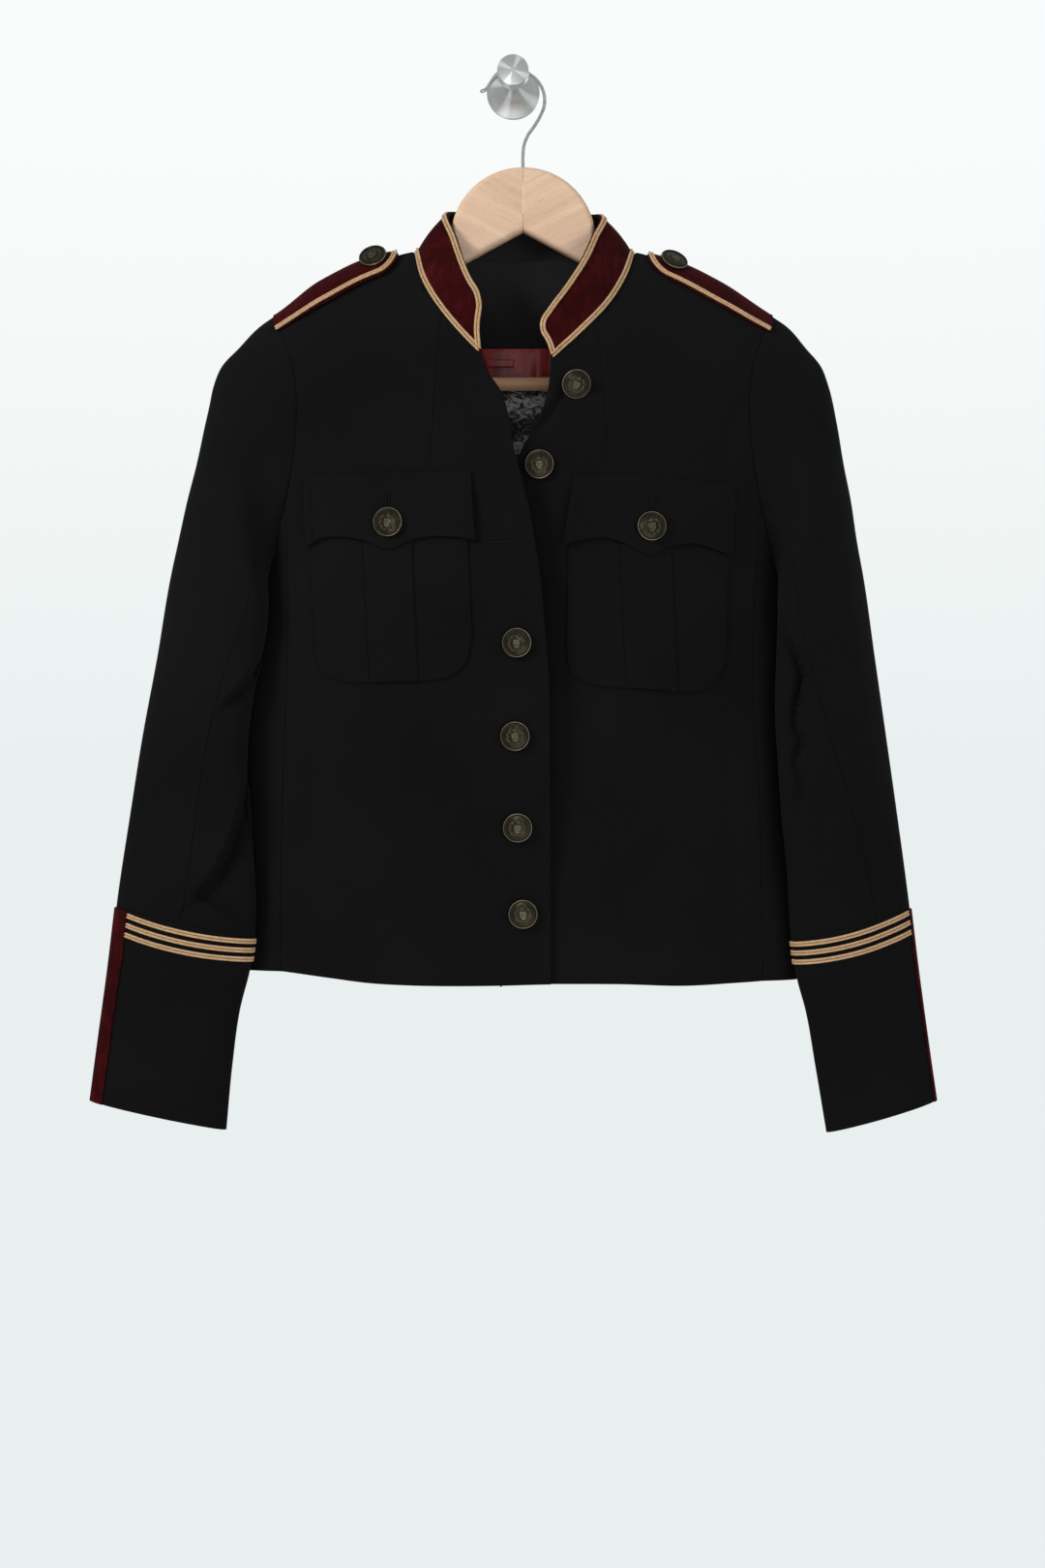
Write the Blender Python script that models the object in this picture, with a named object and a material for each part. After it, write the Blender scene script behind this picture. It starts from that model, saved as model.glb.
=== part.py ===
"""A cropped band jacket with a stand collar, hanging on a wooden hanger from a turned wall peg.

+Z is up and the jacket faces -Y. The origin is the centre of the peg's back face, on the wall (Y = 0).
"right" and "left" in names are the wearer's, so the right side is at -X. Sizes below are in millimetres,
measured from the garment's centre line, which hangs a little to the side of the peg; everything is
turned into metres where a mesh is made.
"""

import math

import bmesh
import bpy
import numpy as np
from mathutils import Vector

MM = 0.001
RIGHT, LEFT = -1, 1
SIDES = {RIGHT: "right", LEFT: "left"}

# Driving dimensions.
CENTRE_X = 7.5  # garment centre line, from the peg's axis
GAP = 0.3  # between pieces at a seam
CLOTH = 1.6
VELVET = 1.3
LINING = 0.8
BRAID_THICKNESS = 1.2
BEVEL = 0.8  # how far a wall's inner edge is set back, as a mitre
RIDGE_BEVEL = 1.8  # the same on the fronts and back, which meet at the sharper shoulder ridge
LIE = 0.7  # under a piece that lies on a panel

# Body form: a rounded section that hangs from the shoulder ridge over the hanger.
RIDGE_Y = -30.0
FOLD_Y = -45.0
FRONT_ROUND, BACK_ROUND = 2.4, 4.0
FRONT_RUN, BACK_RUN = 85.0, 55.0
FRONT_SLOPE, BACK_SLOPE = 1.35, 2.0
SIDE_CLEAR = 0.4  # from the side fold to the line where the sleeve meets it

SHOULDER_LINE = [(0, -104), (45, -117), (81, -130.5), (100, -137), (122, -144.5), (146, -156.5),
                 (169, -168.5), (187, -177.5)]
FRONT_DEPTH = [(-676, 36), (-520, 44), (-420, 47), (-300, 47), (-219, 42), (-180, 38), (-130, 30)]
BACK_DEPTH = [(-676, 30), (-520, 32), (-300, 33), (-130, 33)]
BODY_EDGE = {
    RIGHT: [(-676, 203), (-657, 199.5), (-625, 197), (-581, 199.4), (-523, 203.6), (-494, 202.5),
            (-451, 196), (-408, 187.5), (-377, 187), (-320, 191), (-250, 200), (-176, 214)],
    LEFT: [(-677, 200.7), (-643, 198), (-594, 195), (-552, 190.5), (-520, 188.4), (-477, 186),
           (-434, 187), (-377, 187), (-320, 191), (-250, 200), (-176, 214)],
}
HEM_LINE = [(-203, -666), (-170, -669.5), (-141, -673), (-112, -676.5), (-83, -678), (-18, -678),
            (20, -677), (70, -677), (120, -678.5), (154, -677), (200, -674.5)]

# Neck, armholes and seams.
NECK_SIDE_X = {RIGHT: 80.7, LEFT: 82.9}
NECK_SEAM = {
    RIGHT: [(-30, -218), (-46.4, -201.4), (-60.2, -183), (-74.4, -157), (-80.7, -130.5)],
    LEFT: [(20, -220.5), (42, -201.4), (60.2, -181.4), (75.5, -154.8), (82.9, -131.2)],
}
BACK_NECK = [(-80.7, -130.5), (-60, -133.6), (-37, -135.2), (0, -135.6), (37, -135.2), (60, -133.6),
             (82.9, -131.2)]
ARMHOLE_FRONT_Z = [-177.5, -179.5, -186, -200, -225, -260, -295, -325]
ARMHOLE_BACK_Z = [-177.5, -180, -188, -206, -235, -280, -325]
ARMHOLE_FRONT_X = [(-325, 175), (-295, 169.5), (-265, 166.5), (-240, 167), (-215, 172), (-192, 181),
                   (-177.5, 187)]
ARMHOLE_BACK_X = [(-325, 174), (-280, 171), (-235, 172), (-200, 179), (-177.5, 187)]
UNDERARM_Z = -377.0
CORNER_Z = -325.0
SIDE_CELLS = 6
SEAM_STEPS = [0, 0.15, 0.32, 0.5, 0.67, 0.84, 1]
FRONT_SEAM_X = {
    RIGHT: [(-676, 179), (-600, 178.3), (-520, 175.8), (-430, 173), (-325, 175)],
    LEFT: [(-676, 177), (-590, 175.4), (-540, 174), (-455, 169), (-400, 170.5), (-325, 175)],
}
BACK_SEAM_X = 174.0
NECK_CELLS, SHOULDER_CELLS, BACK_NECK_CELLS = 7, 4, 8

# Front edges. The right front lies on top of the left one and stands proud of it at the chest.
FRONT_EDGE = {
    RIGHT: [(-30, -218), (-26, -230), (-16, -246), (-11.6, -260), (-7.4, -285), (-1.8, -307.5), (3.9, -330),
            (9.5, -362), (13, -386), (15, -410), (18.6, -453), (19.3, -495.5), (20, -566), (20.3, -677)],
    LEFT: [(20, -220.5), (19, -236), (18, -244), (14.5, -257), (6.7, -274), (-0.4, -286), (-10, -320),
           (-17, -380), (-16.7, -520), (-16.7, -679.5)],
}
PROUD = [(-676, 1.5), (-600, 2.5), (-520, 9), (-440, 12), (-360, 12), (-290, 8), (-219, 3)]
PROUD_FROM, PROUD_SPAN = -80.0, 100.0
UNDER_SINK, UNDER_SPAN = 3.4, 44.0

# Sleeves: the outer and the inner line of each, from the armhole to the cuff's edge.
SLEEVE_OUTER = {
    RIGHT: [(187, -177.5), (200, -187), (214, -202), (227.5, -217), (233, -231), (236, -246), (239, -260),
            (245, -290), (252, -319), (258, -348), (264, -377), (273.5, -436), (284, -494), (293, -552),
            (302, -611), (309, -668), (317, -726), (322.5, -767)],
    LEFT: [(187, -177.5), (200.4, -187), (213, -202), (225, -217), (230, -231), (236, -260), (240.6, -290),
           (246, -319), (250, -348), (255, -377), (263, -436), (271, -494), (279, -552), (287, -611),
           (294, -668), (302, -726), (308, -767)],
}
SLEEVE_INNER = {
    RIGHT: [(188.2, -377), (187.6, -412), (194.8, -451), (201.2, -494), (202.2, -523), (198, -581), (196.4, -625),
            (201, -665), (209.4, -697), (215.9, -740), (221, -788)],
    LEFT: [(188.2, -377), (186.2, -434), (184.8, -477), (187.2, -520), (189.4, -552), (193.8, -594), (197.4, -643),
           (202.5, -675), (208.8, -697), (217, -740), (226, -790)],
}
SLEEVE_SHIFT = 1.6  # power that holds the inner line back while the outer one rounds the sleeve head
SLEEVE_DEPTH = [(0, 27), (0.16, 27), (0.31, 26), (0.55, 21), (0.765, 15.5), (1, 13.5)]
SLEEVE_Y = [(0, -47), (0.3, -47), (0.6, -46), (1, -45)]
SLEEVE_LEAN = [(0, 17), (0.15, 16), (0.35, 7), (0.6, 0), (1, 0)]
SLEEVE_INNER_LEAN = [(0, 0), (0.12, -5), (0.3, -15), (0.7, -15), (0.85, -9), (1, -4)]
SLEEVE_BLUNT = [(0, 0.68), (0.2, 0.72), (0.45, 1), (1, 1)]  # power of the sine: less is blunter outside
HEAD_FADE = 0.25
CUFF_START = 0.763
SLEEVE_STEPS = [0, 0.045, 0.095, 0.15, 0.215, 0.3, 0.39, 0.48, 0.58, 0.67, CUFF_START]
CUFF_STEPS = [CUFF_START, 0.84, 0.92, 1]
FRONT_SEAM_ANGLE = {
    RIGHT: [(0, 119), (0.25, 128), (0.5, 107), (0.7, 92), (1, 84)],
    LEFT: [(0, 119), (0.25, 122), (0.5, 95), (0.7, 72), (1, 63)],
}
BACK_SEAM_ANGLE = {RIGHT: 325.0, LEFT: 305.0}
COLUMN_FRONT_SEAM, COLUMN_INNER, COLUMN_BACK_SEAM, COLUMNS = 7, 10, 16, 19
VELVET_COLUMNS = {RIGHT: (-2, 3), LEFT: (-3, 2)}
CUFF_LENGTH = 146.0
CUFF_BRAID_FIRST, CUFF_BRAID_PITCH, CUFF_BRAID_WIDTH = 4.0, 7.0, 4.6

# The largest folds: (points, depth, half width) of soft troughs on the fronts of the sleeves.
SLEEVE_FOLDS = {
    RIGHT: [([(-187, -419), (-206, -455), (-213, -478), (-205, -517)], 5.0, 9.0),
            ([(-206, -517), (-215, -566), (-242, -612)], 5.0, 9.0)],
    LEFT: [([(188, -414), (204, -447), (202, -494), (203, -552)], 5.0, 9.0)],
}

# Collar: its top edge from the right front corner round the neck to the left one.
COLLAR_TOP = [(-31.4, -84, -183), (-33, -80, -169), (-37.6, -73, -159.5), (-43.3, -62, -144), (-49.5, -46, -122),
              (-56.5, -29, -99), (-50, -17.5, -95.5), (-28, -14.3, -95.5), (0, -14, -96), (28, -14.3, -96.5),
              (51, -17.5, -97.5), (58.3, -29, -101), (51.7, -46, -120.5), (42.6, -62, -143), (30.2, -74, -165),
              (18.5, -82, -183), (13.2, -85, -193), (14.5, -86, -203)]
COLLAR_STOPS = [0, 5, 11, 17]  # its ends, and its points above the two sides of the neck
COLLAR_BULGE = 2.5
COLLAR_ROWS = 3
BRAID_WIDTH = 5.0
COLLAR_HEIGHT = 44.0  # along the cloth, from the seam to the top edge
BRAID_INSET = 1.6

# Epaulettes: straps over the shoulder ridge, from the armhole to a rounded end near the collar.
STRAP_TIP_X, STRAP_END_X = 93.0, 185.5
STRAP_FRONT, STRAP_BACK = 21.0, 19.0
STRAP_ROUND = 15.0
STRAP_BRAID = 4.4
STRAP_LIE = 1.3

# Pockets and flaps, each seen from the front: (x, z) corners and curves.
FLAP = {
    RIGHT: {"top": [(-160, -305.4), (-37.4, -304.2)],
            "low": [(-157.8, -357.3), (-147, -352), (-134.8, -350.7), (-115, -354), (-97.3, -360.4),
                    (-83, -354.5), (-67, -351.7), (-48, -352.5), (-33.9, -355)]},
    LEFT: {"top": [(36.7, -306), (155, -311)],
           "low": [(29.4, -358), (45, -353.5), (59.6, -352.8), (76, -357.5), (91, -364.7),
                   (105, -358.5), (120, -356), (137, -359), (152, -365)]},
}
POCKET = {
    RIGHT: {"top": [(-156, -345), (-40.3, -345)],
            "low": [(-152, -424), (-150.5, -441), (-143, -452), (-133.6, -455.3), (-90, -456), (-67, -455.6),
                    (-52, -452.5), (-42, -444), (-36.8, -424)],
            "pleat": (-116, -110, -81, -76)},
    LEFT: {"top": [(33, -349), (150.6, -352)],
           "low": [(31.8, -430), (34, -447), (41, -455.5), (52.4, -458.8), (90, -461.5), (122.5, -463.5),
                   (136, -460.5), (144.5, -449), (148, -426)],
           "pleat": (71, 76, 107, 112)},
}
PLEAT_RISE = 0.9
POCKET_CLOTH, FLAP_CLOTH = 1.2, 1.6
FLAP_OUT = 2 * LIE + POCKET_CLOTH + PLEAT_RISE + FLAP_CLOTH

# Buttons.
BUTTON_PROFILE = [(0, 0), (10.7, 0), (11.2, 0.6), (11.2, 1.9), (10.5, 2.4), (9.6, 2.0), (6.0, 3.0), (0, 3.6)]
BUTTON_OUT = {1: 3.2, 2: 1.2, 3: 1.2, 4: 1.2, 5: 1.2, 6: 1.2}
BUTTON_TILT = {1: (-0.12, 0, 0.1)}
STRAP_BUTTON_ACROSS = -5.0
FRONT_BUTTONS = [(LEFT, 36.5, -237), (LEFT, 12, -299), (RIGHT, -4.2, -429), (RIGHT, -5.5, -496),
                 (RIGHT, -3.8, -562), (RIGHT, 0, -625)]
FLAP_BUTTONS = {RIGHT: (-97.4, -341), LEFT: (92.5, -344)}
STRAP_BUTTON_X = {RIGHT: 110.6, LEFT: 112.0}

# Inside the neck.
FACING_EDGE = [(-138.5, -46), (-199, -56)]
LINING_EDGE = [(-199.6, -122), (-245, -130), (-330, -143), (-640, -146)]
LABEL = (-33.0, 33.0, -228.0, -280.0)
LOOP = (-28.0, -7.0, -208.5, -214.0)

# Hanger, hook and wall peg.
HANGER_Y = -30.0
HANGER_THICK = 12.0
HANGER_ROUND = 4.0
HANGER_CLEAR = 6.5  # from the shoulder line down to the wood
NECK_RADIUS, NECK_CENTRE_Z = 54.5, -120.7
HANGER_FILLET = [(54.6, -119), (57.5, -126.5), (65, -131.8), (74, -134)]
HANGER_END = [(196, -195.5), (207, -208), (215.5, -219), (219.5, -230), (218, -240)]
HANGER_LOW = [(214, -243), (204, -241.5), (196, -233), (186, -220), (165, -204.5), (120, -178), (80, -157),
              (41, -136.8), (0, -114.5)]
BAR_RADIUS, BAR_Z, BAR_HALF = 5.0, -229.0, 205.5
HOLE_CLEAR = 0.3
HOOK_HOLE_Z, HOOK_HOLE_LENGTH = -68.5, 18.0
HOOK_RADIUS = 1.9
HOOK_CENTRE = (-6.2, -15.1)
HOOK_BEND = 22.6
HOOK_START = [(-32.5, -8.5), (-29.8, -7.8), (-27.4, -6.2)]
HOOK_SHANK = [(8.6, -34.6), (3.8, -41.4), (0.9, -48.5), (0, -57), (0, -66), (0, -77)]
PEG_PROFILE = [(0, 0), (20.3, 0), (20.3, 2.0), (19.6, 2.6), (13.0, 6.5), (8.0, 12.0), (5.3, 20.0), (5.3, 35.5),
               (7.0, 38.5), (11.0, 42.5), (11.7, 44.0), (11.7, 53.2), (10.9, 54.0), (0, 54.0)]


# --- curves and tables ---------------------------------------------------------------------------


def table(at, pairs):
    """A smooth curve through (position, value) pairs, read at each position of at and held past its ends."""
    pairs = sorted(pairs)
    where = np.array([pair[0] for pair in pairs], float)
    value = np.array([pair[1] for pair in pairs], float)
    slope = np.gradient(value, where)
    at = np.clip(np.asarray(at, float), where[0], where[-1])
    k = np.clip(np.searchsorted(where, at) - 1, 0, len(where) - 2)
    span = where[k + 1] - where[k]
    t = (at - where[k]) / span
    rise = (value[k + 1] - value[k]) * t * t * (3 - 2 * t)
    return value[k] + rise + span * (slope[k] * t * (1 - t) ** 2 - slope[k + 1] * t * t * (1 - t))


def lengths(points):
    """How far along its polyline each point is, from 0 to 1."""
    steps = np.linalg.norm(np.diff(points, axis=0), axis=1)
    run = np.concatenate([[0.0], np.cumsum(steps)])
    return run / run[-1]


def resample(points, fractions):
    """Points at the given fractions of the length of a smooth curve through points."""
    points = np.array(points, float)
    knots = lengths(points)
    fine_at = np.linspace(0, 1, 24 * len(points))
    fine = np.stack([table(fine_at, list(zip(knots, axis))) for axis in points.T], axis=1)
    run = lengths(fine)
    return np.stack([np.interp(fractions, run, axis) for axis in fine.T], axis=1)


def smoothstep(value):
    value = np.clip(value, 0, 1)
    return value * value * (3 - 2 * value)


def unit(vectors):
    return vectors / np.maximum(np.linalg.norm(vectors, axis=-1, keepdims=True), 1e-9)


def distance_to(x, z, points):
    """Distance in the XZ plane from each (x, z) to a smooth line through points, and how far along it is."""
    line = resample(points, np.linspace(0, 1, 40))
    gaps = np.hypot(x[..., None] - line[:, 0], z[..., None] - line[:, 1])
    return gaps.min(axis=-1), gaps.argmin(axis=-1) / 39


# --- body form -----------------------------------------------------------------------------------


def half_width(side, z):
    return table(z, BODY_EDGE[side]) - SIDE_CLEAR


def drape(drop, run, slope):
    """0 at the ridge and 1 from run below it, as a rounded slope."""
    t = np.clip(drop / run, 0, 1)
    return (1 - (1 - t) ** slope) ** (1 / slope)


def section(x, z, depth, roundness):
    """Distance in front of or behind the side fold at x, on the rounded section at height z."""
    width = np.where(x < 0, half_width(RIGHT, z), half_width(LEFT, z))
    u = np.clip(np.abs(x) / width, 0, 1)
    return table(z, depth) * (1 - u**roundness) ** (1 / roundness)


def shoulder_z(x):
    return table(np.abs(x), SHOULDER_LINE)


def front_y(side, x, z):
    """Y of the outer face of a front at (x, z)."""
    full = FOLD_Y - section(x, z, FRONT_DEPTH, FRONT_ROUND)
    y = RIDGE_Y + (full - RIDGE_Y) * drape(shoulder_z(x) - z, FRONT_RUN, FRONT_SLOPE)
    if side == RIGHT:
        return y - table(z, PROUD) * smoothstep((x - PROUD_FROM) / PROUD_SPAN)
    return y + UNDER_SINK * smoothstep((UNDER_SPAN - x) / UNDER_SPAN)


def back_y(x, z):
    full = FOLD_Y + section(x, z, BACK_DEPTH, BACK_ROUND)
    return RIDGE_Y + (full - RIDGE_Y) * drape(shoulder_z(x) - z, BACK_RUN, BACK_SLOPE)


def on_front(side, x, z, out=0.0):
    """Points on a front at (x, z), moved out from it."""
    x, z = np.broadcast_arrays(np.asarray(x, float), np.asarray(z, float))
    y = front_y(side, x, z)
    step = 0.5
    along_x = (front_y(side, x + step, z) - front_y(side, x - step, z)) / (2 * step)
    along_z = (front_y(side, x, z + step) - front_y(side, x, z - step)) / (2 * step)
    normal = unit(np.stack([along_x, -np.ones_like(x), along_z], axis=-1))
    return np.stack([x, y, z], axis=-1) + normal * np.asarray(out)[..., None]


def on_back(x, z):
    x, z = np.broadcast_arrays(np.asarray(x, float), np.asarray(z, float))
    return np.stack([x, back_y(x, z), z], axis=-1)


def round_side(side, z, turn):
    """Points round the side fold at height z: turn is -1 at the front seam, 0 at the fold, 1 at the back."""
    z, turn = np.broadcast_arrays(np.asarray(z, float), np.asarray(turn, float))
    width = half_width(side, z)
    front_end = np.arccos((table(z, FRONT_SEAM_X[side]) / width) ** (FRONT_ROUND / 2))
    back_end = np.arccos((BACK_SEAM_X / width) ** (BACK_ROUND / 2))
    front = turn < 0
    angle = np.abs(turn) * np.where(front, front_end, back_end)
    power = np.where(front, FRONT_ROUND, BACK_ROUND)
    depth = np.where(front, -table(z, FRONT_DEPTH), table(z, BACK_DEPTH))
    x = side * width * np.cos(angle) ** (2 / power)
    return np.stack([x, FOLD_Y + depth * np.sin(angle) ** (2 / power), z], axis=-1)


# --- outlines shared by neighbouring pieces --------------------------------------------------------


def neck_front(side):
    return resample(NECK_SEAM[side], np.linspace(0, 1, NECK_CELLS + 1))


def neck_back():
    return resample(BACK_NECK, np.linspace(0, 1, BACK_NECK_CELLS + 1))


def shoulder(side):
    """(x, z) from the neck to the armhole along the ridge."""
    x = np.linspace(NECK_SIDE_X[side], SHOULDER_LINE[-1][0], SHOULDER_CELLS + 1)
    z = shoulder_z(x)
    z[0] = NECK_SEAM[side][-1][1]
    return np.stack([side * x, z], axis=1)


def hem_z(x):
    return table(x, HEM_LINE)


def armhole_front(side):
    z = np.array(ARMHOLE_FRONT_Z, float)
    return np.stack([side * table(z, ARMHOLE_FRONT_X), z], axis=1)


def armhole_back(side):
    z = np.array(ARMHOLE_BACK_Z, float)
    return np.stack([side * table(z, ARMHOLE_BACK_X), z], axis=1)


def underarm(side):
    """The armhole's lower stretch, round the side panel's top, from the front corner to the back one."""
    turn = np.linspace(-1, 1, SIDE_CELLS + 1)
    z = UNDERARM_Z + (CORNER_Z - UNDERARM_Z) * np.abs(turn) ** 1.7
    return round_side(side, z, turn), z, turn


def armhole(side):
    """The whole armhole, down the front, under the arm and up the back to where it started."""
    front = armhole_front(side)
    back = armhole_back(side)[::-1]
    front = on_front(side, front[:, 0], front[:, 1])
    back = on_back(back[:, 0], back[:, 1])
    return np.vstack([front, underarm(side)[0][1:-1], back])


def seam_below(corner, hem, x_of):
    z = corner + (hem - corner) * np.array(SEAM_STEPS)
    return np.stack([x_of(z), z], axis=1)


def front_seam(side):
    hem = hem_z(side * 178.0)
    return seam_below(CORNER_Z, hem, lambda z: side * table(z, FRONT_SEAM_X[side]))


def back_seam(side):
    return seam_below(CORNER_Z, hem_z(side * BACK_SEAM_X), lambda z: side * BACK_SEAM_X + 0 * z)


def blend_patch(top, low, left, right):
    """A grid of (x, z) inside four edges, rows from top to low. The sides' curves fade fast across it."""
    u = lengths(top)[None, :, None]
    v = lengths(right)[:, None, None]
    rows = (1 - v) * top[None] + v * low[None]
    left_bow = left[:, None] - ((1 - v) * top[0] + v * low[0])
    right_bow = right[:, None] - ((1 - v) * top[-1] + v * low[-1])
    return rows + (1 - u) ** 2 * left_bow + u**2 * right_bow


# --- closed walls from grids ------------------------------------------------------------------------


def grid_normals(grid, wrap=False):
    """Unit normals of a grid whose rows run down and whose columns run to the right, seen from outside."""
    down = np.gradient(grid, axis=0)
    if wrap:
        ring = grid[:, :-1]
        across = np.roll(ring, -1, axis=1) - np.roll(ring, 1, axis=1)
        across = np.concatenate([across, across[:, :1]], axis=1)
    else:
        across = np.gradient(grid, axis=1)
    return unit(np.cross(down, across))


def draw_in(grid, amount, wrap=False):
    """The grid with its edges moved in along its own surface."""
    grid = grid.copy()
    first = grid[0] + amount * unit(grid[1] - grid[0])
    last = grid[-1] + amount * unit(grid[-2] - grid[-1])
    grid[0], grid[-1] = first, last
    if not wrap:
        first = grid[:, 0] + amount * unit(grid[:, 1] - grid[:, 0])
        last = grid[:, -1] + amount * unit(grid[:, -2] - grid[:, -1])
        grid[:, 0], grid[:, -1] = first, last
    return grid


def wall(grid, thickness, wrap=False, edge=GAP / 2, bevel=BEVEL):
    """Vertices and faces of a closed wall whose outer face is grid, its edges drawn in by half a gap."""
    outer = draw_in(grid, edge, wrap)
    inner = draw_in(outer - grid_normals(outer, wrap) * thickness, bevel, wrap)
    rows, columns = grid.shape[:2]
    if wrap:
        columns -= 1
        outer, inner = outer[:, :-1], inner[:, :-1]
    count = rows * columns
    points = np.concatenate([outer.reshape(-1, 3), inner.reshape(-1, 3)])

    def at(row, column, layer):
        return layer * count + row * columns + column % columns

    faces = []
    for row in range(rows - 1):
        for column in range(columns if wrap else columns - 1):
            a, b = at(row, column, 0), at(row + 1, column, 0)
            c, d = at(row + 1, column + 1, 0), at(row, column + 1, 0)
            faces += [(a, b, c), (a, c, d)]
            faces += [(count + c, count + b, count + a), (count + d, count + c, count + a)]
    for column in range(columns if wrap else columns - 1):
        for row, turn in ((0, 1), (rows - 1, -1)):
            quad = (at(row, column, 0), at(row, column + 1, 0), at(row, column + 1, 1), at(row, column, 1))
            faces += [quad[:3][::turn], (quad[0], quad[2], quad[3])[::turn]]
    if not wrap:
        for row in range(rows - 1):
            for column, turn in ((0, -1), (columns - 1, 1)):
                low, high = row + 1, row
                quad = (at(high, column, 0), at(low, column, 0), at(low, column, 1), at(high, column, 1))
                faces += [quad[:3][::turn], (quad[0], quad[2], quad[3])[::turn]]
    return points, faces


# --- objects ------------------------------------------------------------------------------------------


MATERIALS = {}


def material(name, colour, roughness, metallic=0.0):
    """One Principled material, made once for each name."""
    if name not in MATERIALS:
        made = bpy.data.materials.new(name)
        made.use_nodes = True
        shader = made.node_tree.nodes["Principled BSDF"]
        shader.inputs["Base Color"].default_value = (*colour, 1)
        shader.inputs["Roughness"].default_value = roughness
        shader.inputs["Metallic"].default_value = metallic
        made.diffuse_color = (*colour, 1)
        MATERIALS[name] = made
    return MATERIALS[name]


def black_cloth():
    return material("black_twill", (0.008, 0.008, 0.009), 0.85)


def velvet():
    return material("burgundy_velvet", (0.09, 0.012, 0.018), 0.8)


def gold_braid():
    return material("gold_braid", (0.5, 0.31, 0.13), 0.5, 0.3)


def red_satin():
    return material("red_satin", (0.17, 0.02, 0.025), 0.4)


def dark_brass():
    return material("dark_brass", (0.12, 0.1, 0.07), 0.4, 0.9)


def beech():
    return material("light_beech", (0.62, 0.43, 0.28), 0.5)


def add_mesh(name, points, faces, look, parent):
    """An object from points in millimetres and faces."""
    mesh = bpy.data.meshes.new(name)
    places = [tuple(point) for point in np.asarray(points) * MM]
    mesh.from_pydata(places, [], [tuple(map(int, face)) for face in faces])
    mesh.materials.append(look)
    body = bmesh.new()
    body.from_mesh(mesh)
    bmesh.ops.recalc_face_normals(body, faces=body.faces)
    body.to_mesh(mesh)
    body.free()
    mesh.shade_smooth()
    mesh.set_sharp_from_angle(angle=math.radians(40))
    thing = bpy.data.objects.new(name, mesh)
    bpy.context.scene.collection.objects.link(thing)
    thing.parent = parent
    return thing


def turned(profile, sides):
    """A solid of revolution about +Z: profile is (radius, height) from the axis below to the axis on top."""
    points = [(0, 0, profile[0][1])]
    for radius, height in profile[1:-1]:
        for k in range(sides):
            angle = 2 * math.pi * k / sides
            points.append((radius * math.cos(angle), radius * math.sin(angle), height))
    points.append((0, 0, profile[-1][1]))
    faces = []
    rings = len(profile) - 2
    for k in range(sides):
        after = (k + 1) % sides
        faces.append((0, 1 + after, 1 + k))
        for ring in range(rings - 1):
            low, high = 1 + ring * sides, 1 + (ring + 1) * sides
            faces.append((low + k, low + after, high + after, high + k))
        top = 1 + (rings - 1) * sides
        faces.append((top + k, top + after, len(points) - 1))
    return points, faces


# --- body pieces ------------------------------------------------------------------------------------


def front_grid(side):
    top = np.vstack([neck_front(side), shoulder(side)[1:]])
    outer = np.vstack([armhole_front(side), front_seam(side)[1:]])
    edge = resample(FRONT_EDGE[side], lengths(outer))
    hem_x = edge[-1, 0] + (outer[-1, 0] - edge[-1, 0]) * lengths(top)
    hem = np.stack([hem_x, hem_z(hem_x)], axis=1)
    hem[0], hem[-1] = edge[-1], outer[-1]
    flat = blend_patch(top, hem, edge, outer)
    grid = on_front(side, flat[..., 0], flat[..., 1])
    return grid[:, ::-1] if side == RIGHT else grid


def back_grid():
    right = np.vstack([armhole_back(RIGHT), back_seam(RIGHT)[1:]])
    left = np.vstack([armhole_back(LEFT), back_seam(LEFT)[1:]])
    top = np.vstack([shoulder(RIGHT)[::-1], neck_back()[1:-1], shoulder(LEFT)])
    hem_x = right[-1, 0] + (left[-1, 0] - right[-1, 0]) * lengths(top)
    hem = np.stack([hem_x, hem_z(hem_x)], axis=1)
    flat = blend_patch(top, hem, right, left)
    return on_back(flat[..., 0], flat[..., 1])[:, ::-1]


def side_grid(side):
    _, top, turn = underarm(side)
    low = (hem_z(side * 178.0) + (hem_z(side * BACK_SEAM_X) - hem_z(side * 178.0)) * (turn + 1) / 2)
    z = top + (low - top) * np.array(SEAM_STEPS)[:, None]
    grid = round_side(side, z, turn[None, :])
    return grid[:, ::-1] if side == RIGHT else grid


def make_body(parent):
    for side, word in SIDES.items():
        add_mesh(f"front_{word}", *wall(front_grid(side), CLOTH, bevel=RIDGE_BEVEL), black_cloth(), parent)
        add_mesh(f"side_{word}", *wall(side_grid(side), CLOTH), black_cloth(), parent)
    add_mesh("back", *wall(back_grid(), CLOTH, bevel=RIDGE_BEVEL), black_cloth(), parent)


# --- sleeves -----------------------------------------------------------------------------------------


def sleeve_angles(side, t):
    """The angle of each column of a sleeve ring, in degrees: 0 at its outer line, 90 in front, 180 inside."""
    stops = [0, COLUMN_FRONT_SEAM, COLUMN_INNER, COLUMN_BACK_SEAM, COLUMNS]
    angles = [0, float(table(t, FRONT_SEAM_ANGLE[side])), 180, BACK_SEAM_ANGLE[side], 360]
    even = np.interp(np.arange(COLUMNS + 1), stops, angles)
    z = armhole(side)[:, 2]
    middle, reach = (z[0] + UNDERARM_Z) / 2, (z[0] - UNDERARM_Z) / 2
    first = np.degrees(np.arccos(np.clip((z - middle) / reach, -1, 1)))
    first[COLUMN_INNER + 1 :] = 360 - first[COLUMN_INNER + 1 :]
    return first + (even - first) * smoothstep(t / HEAD_FADE)


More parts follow.
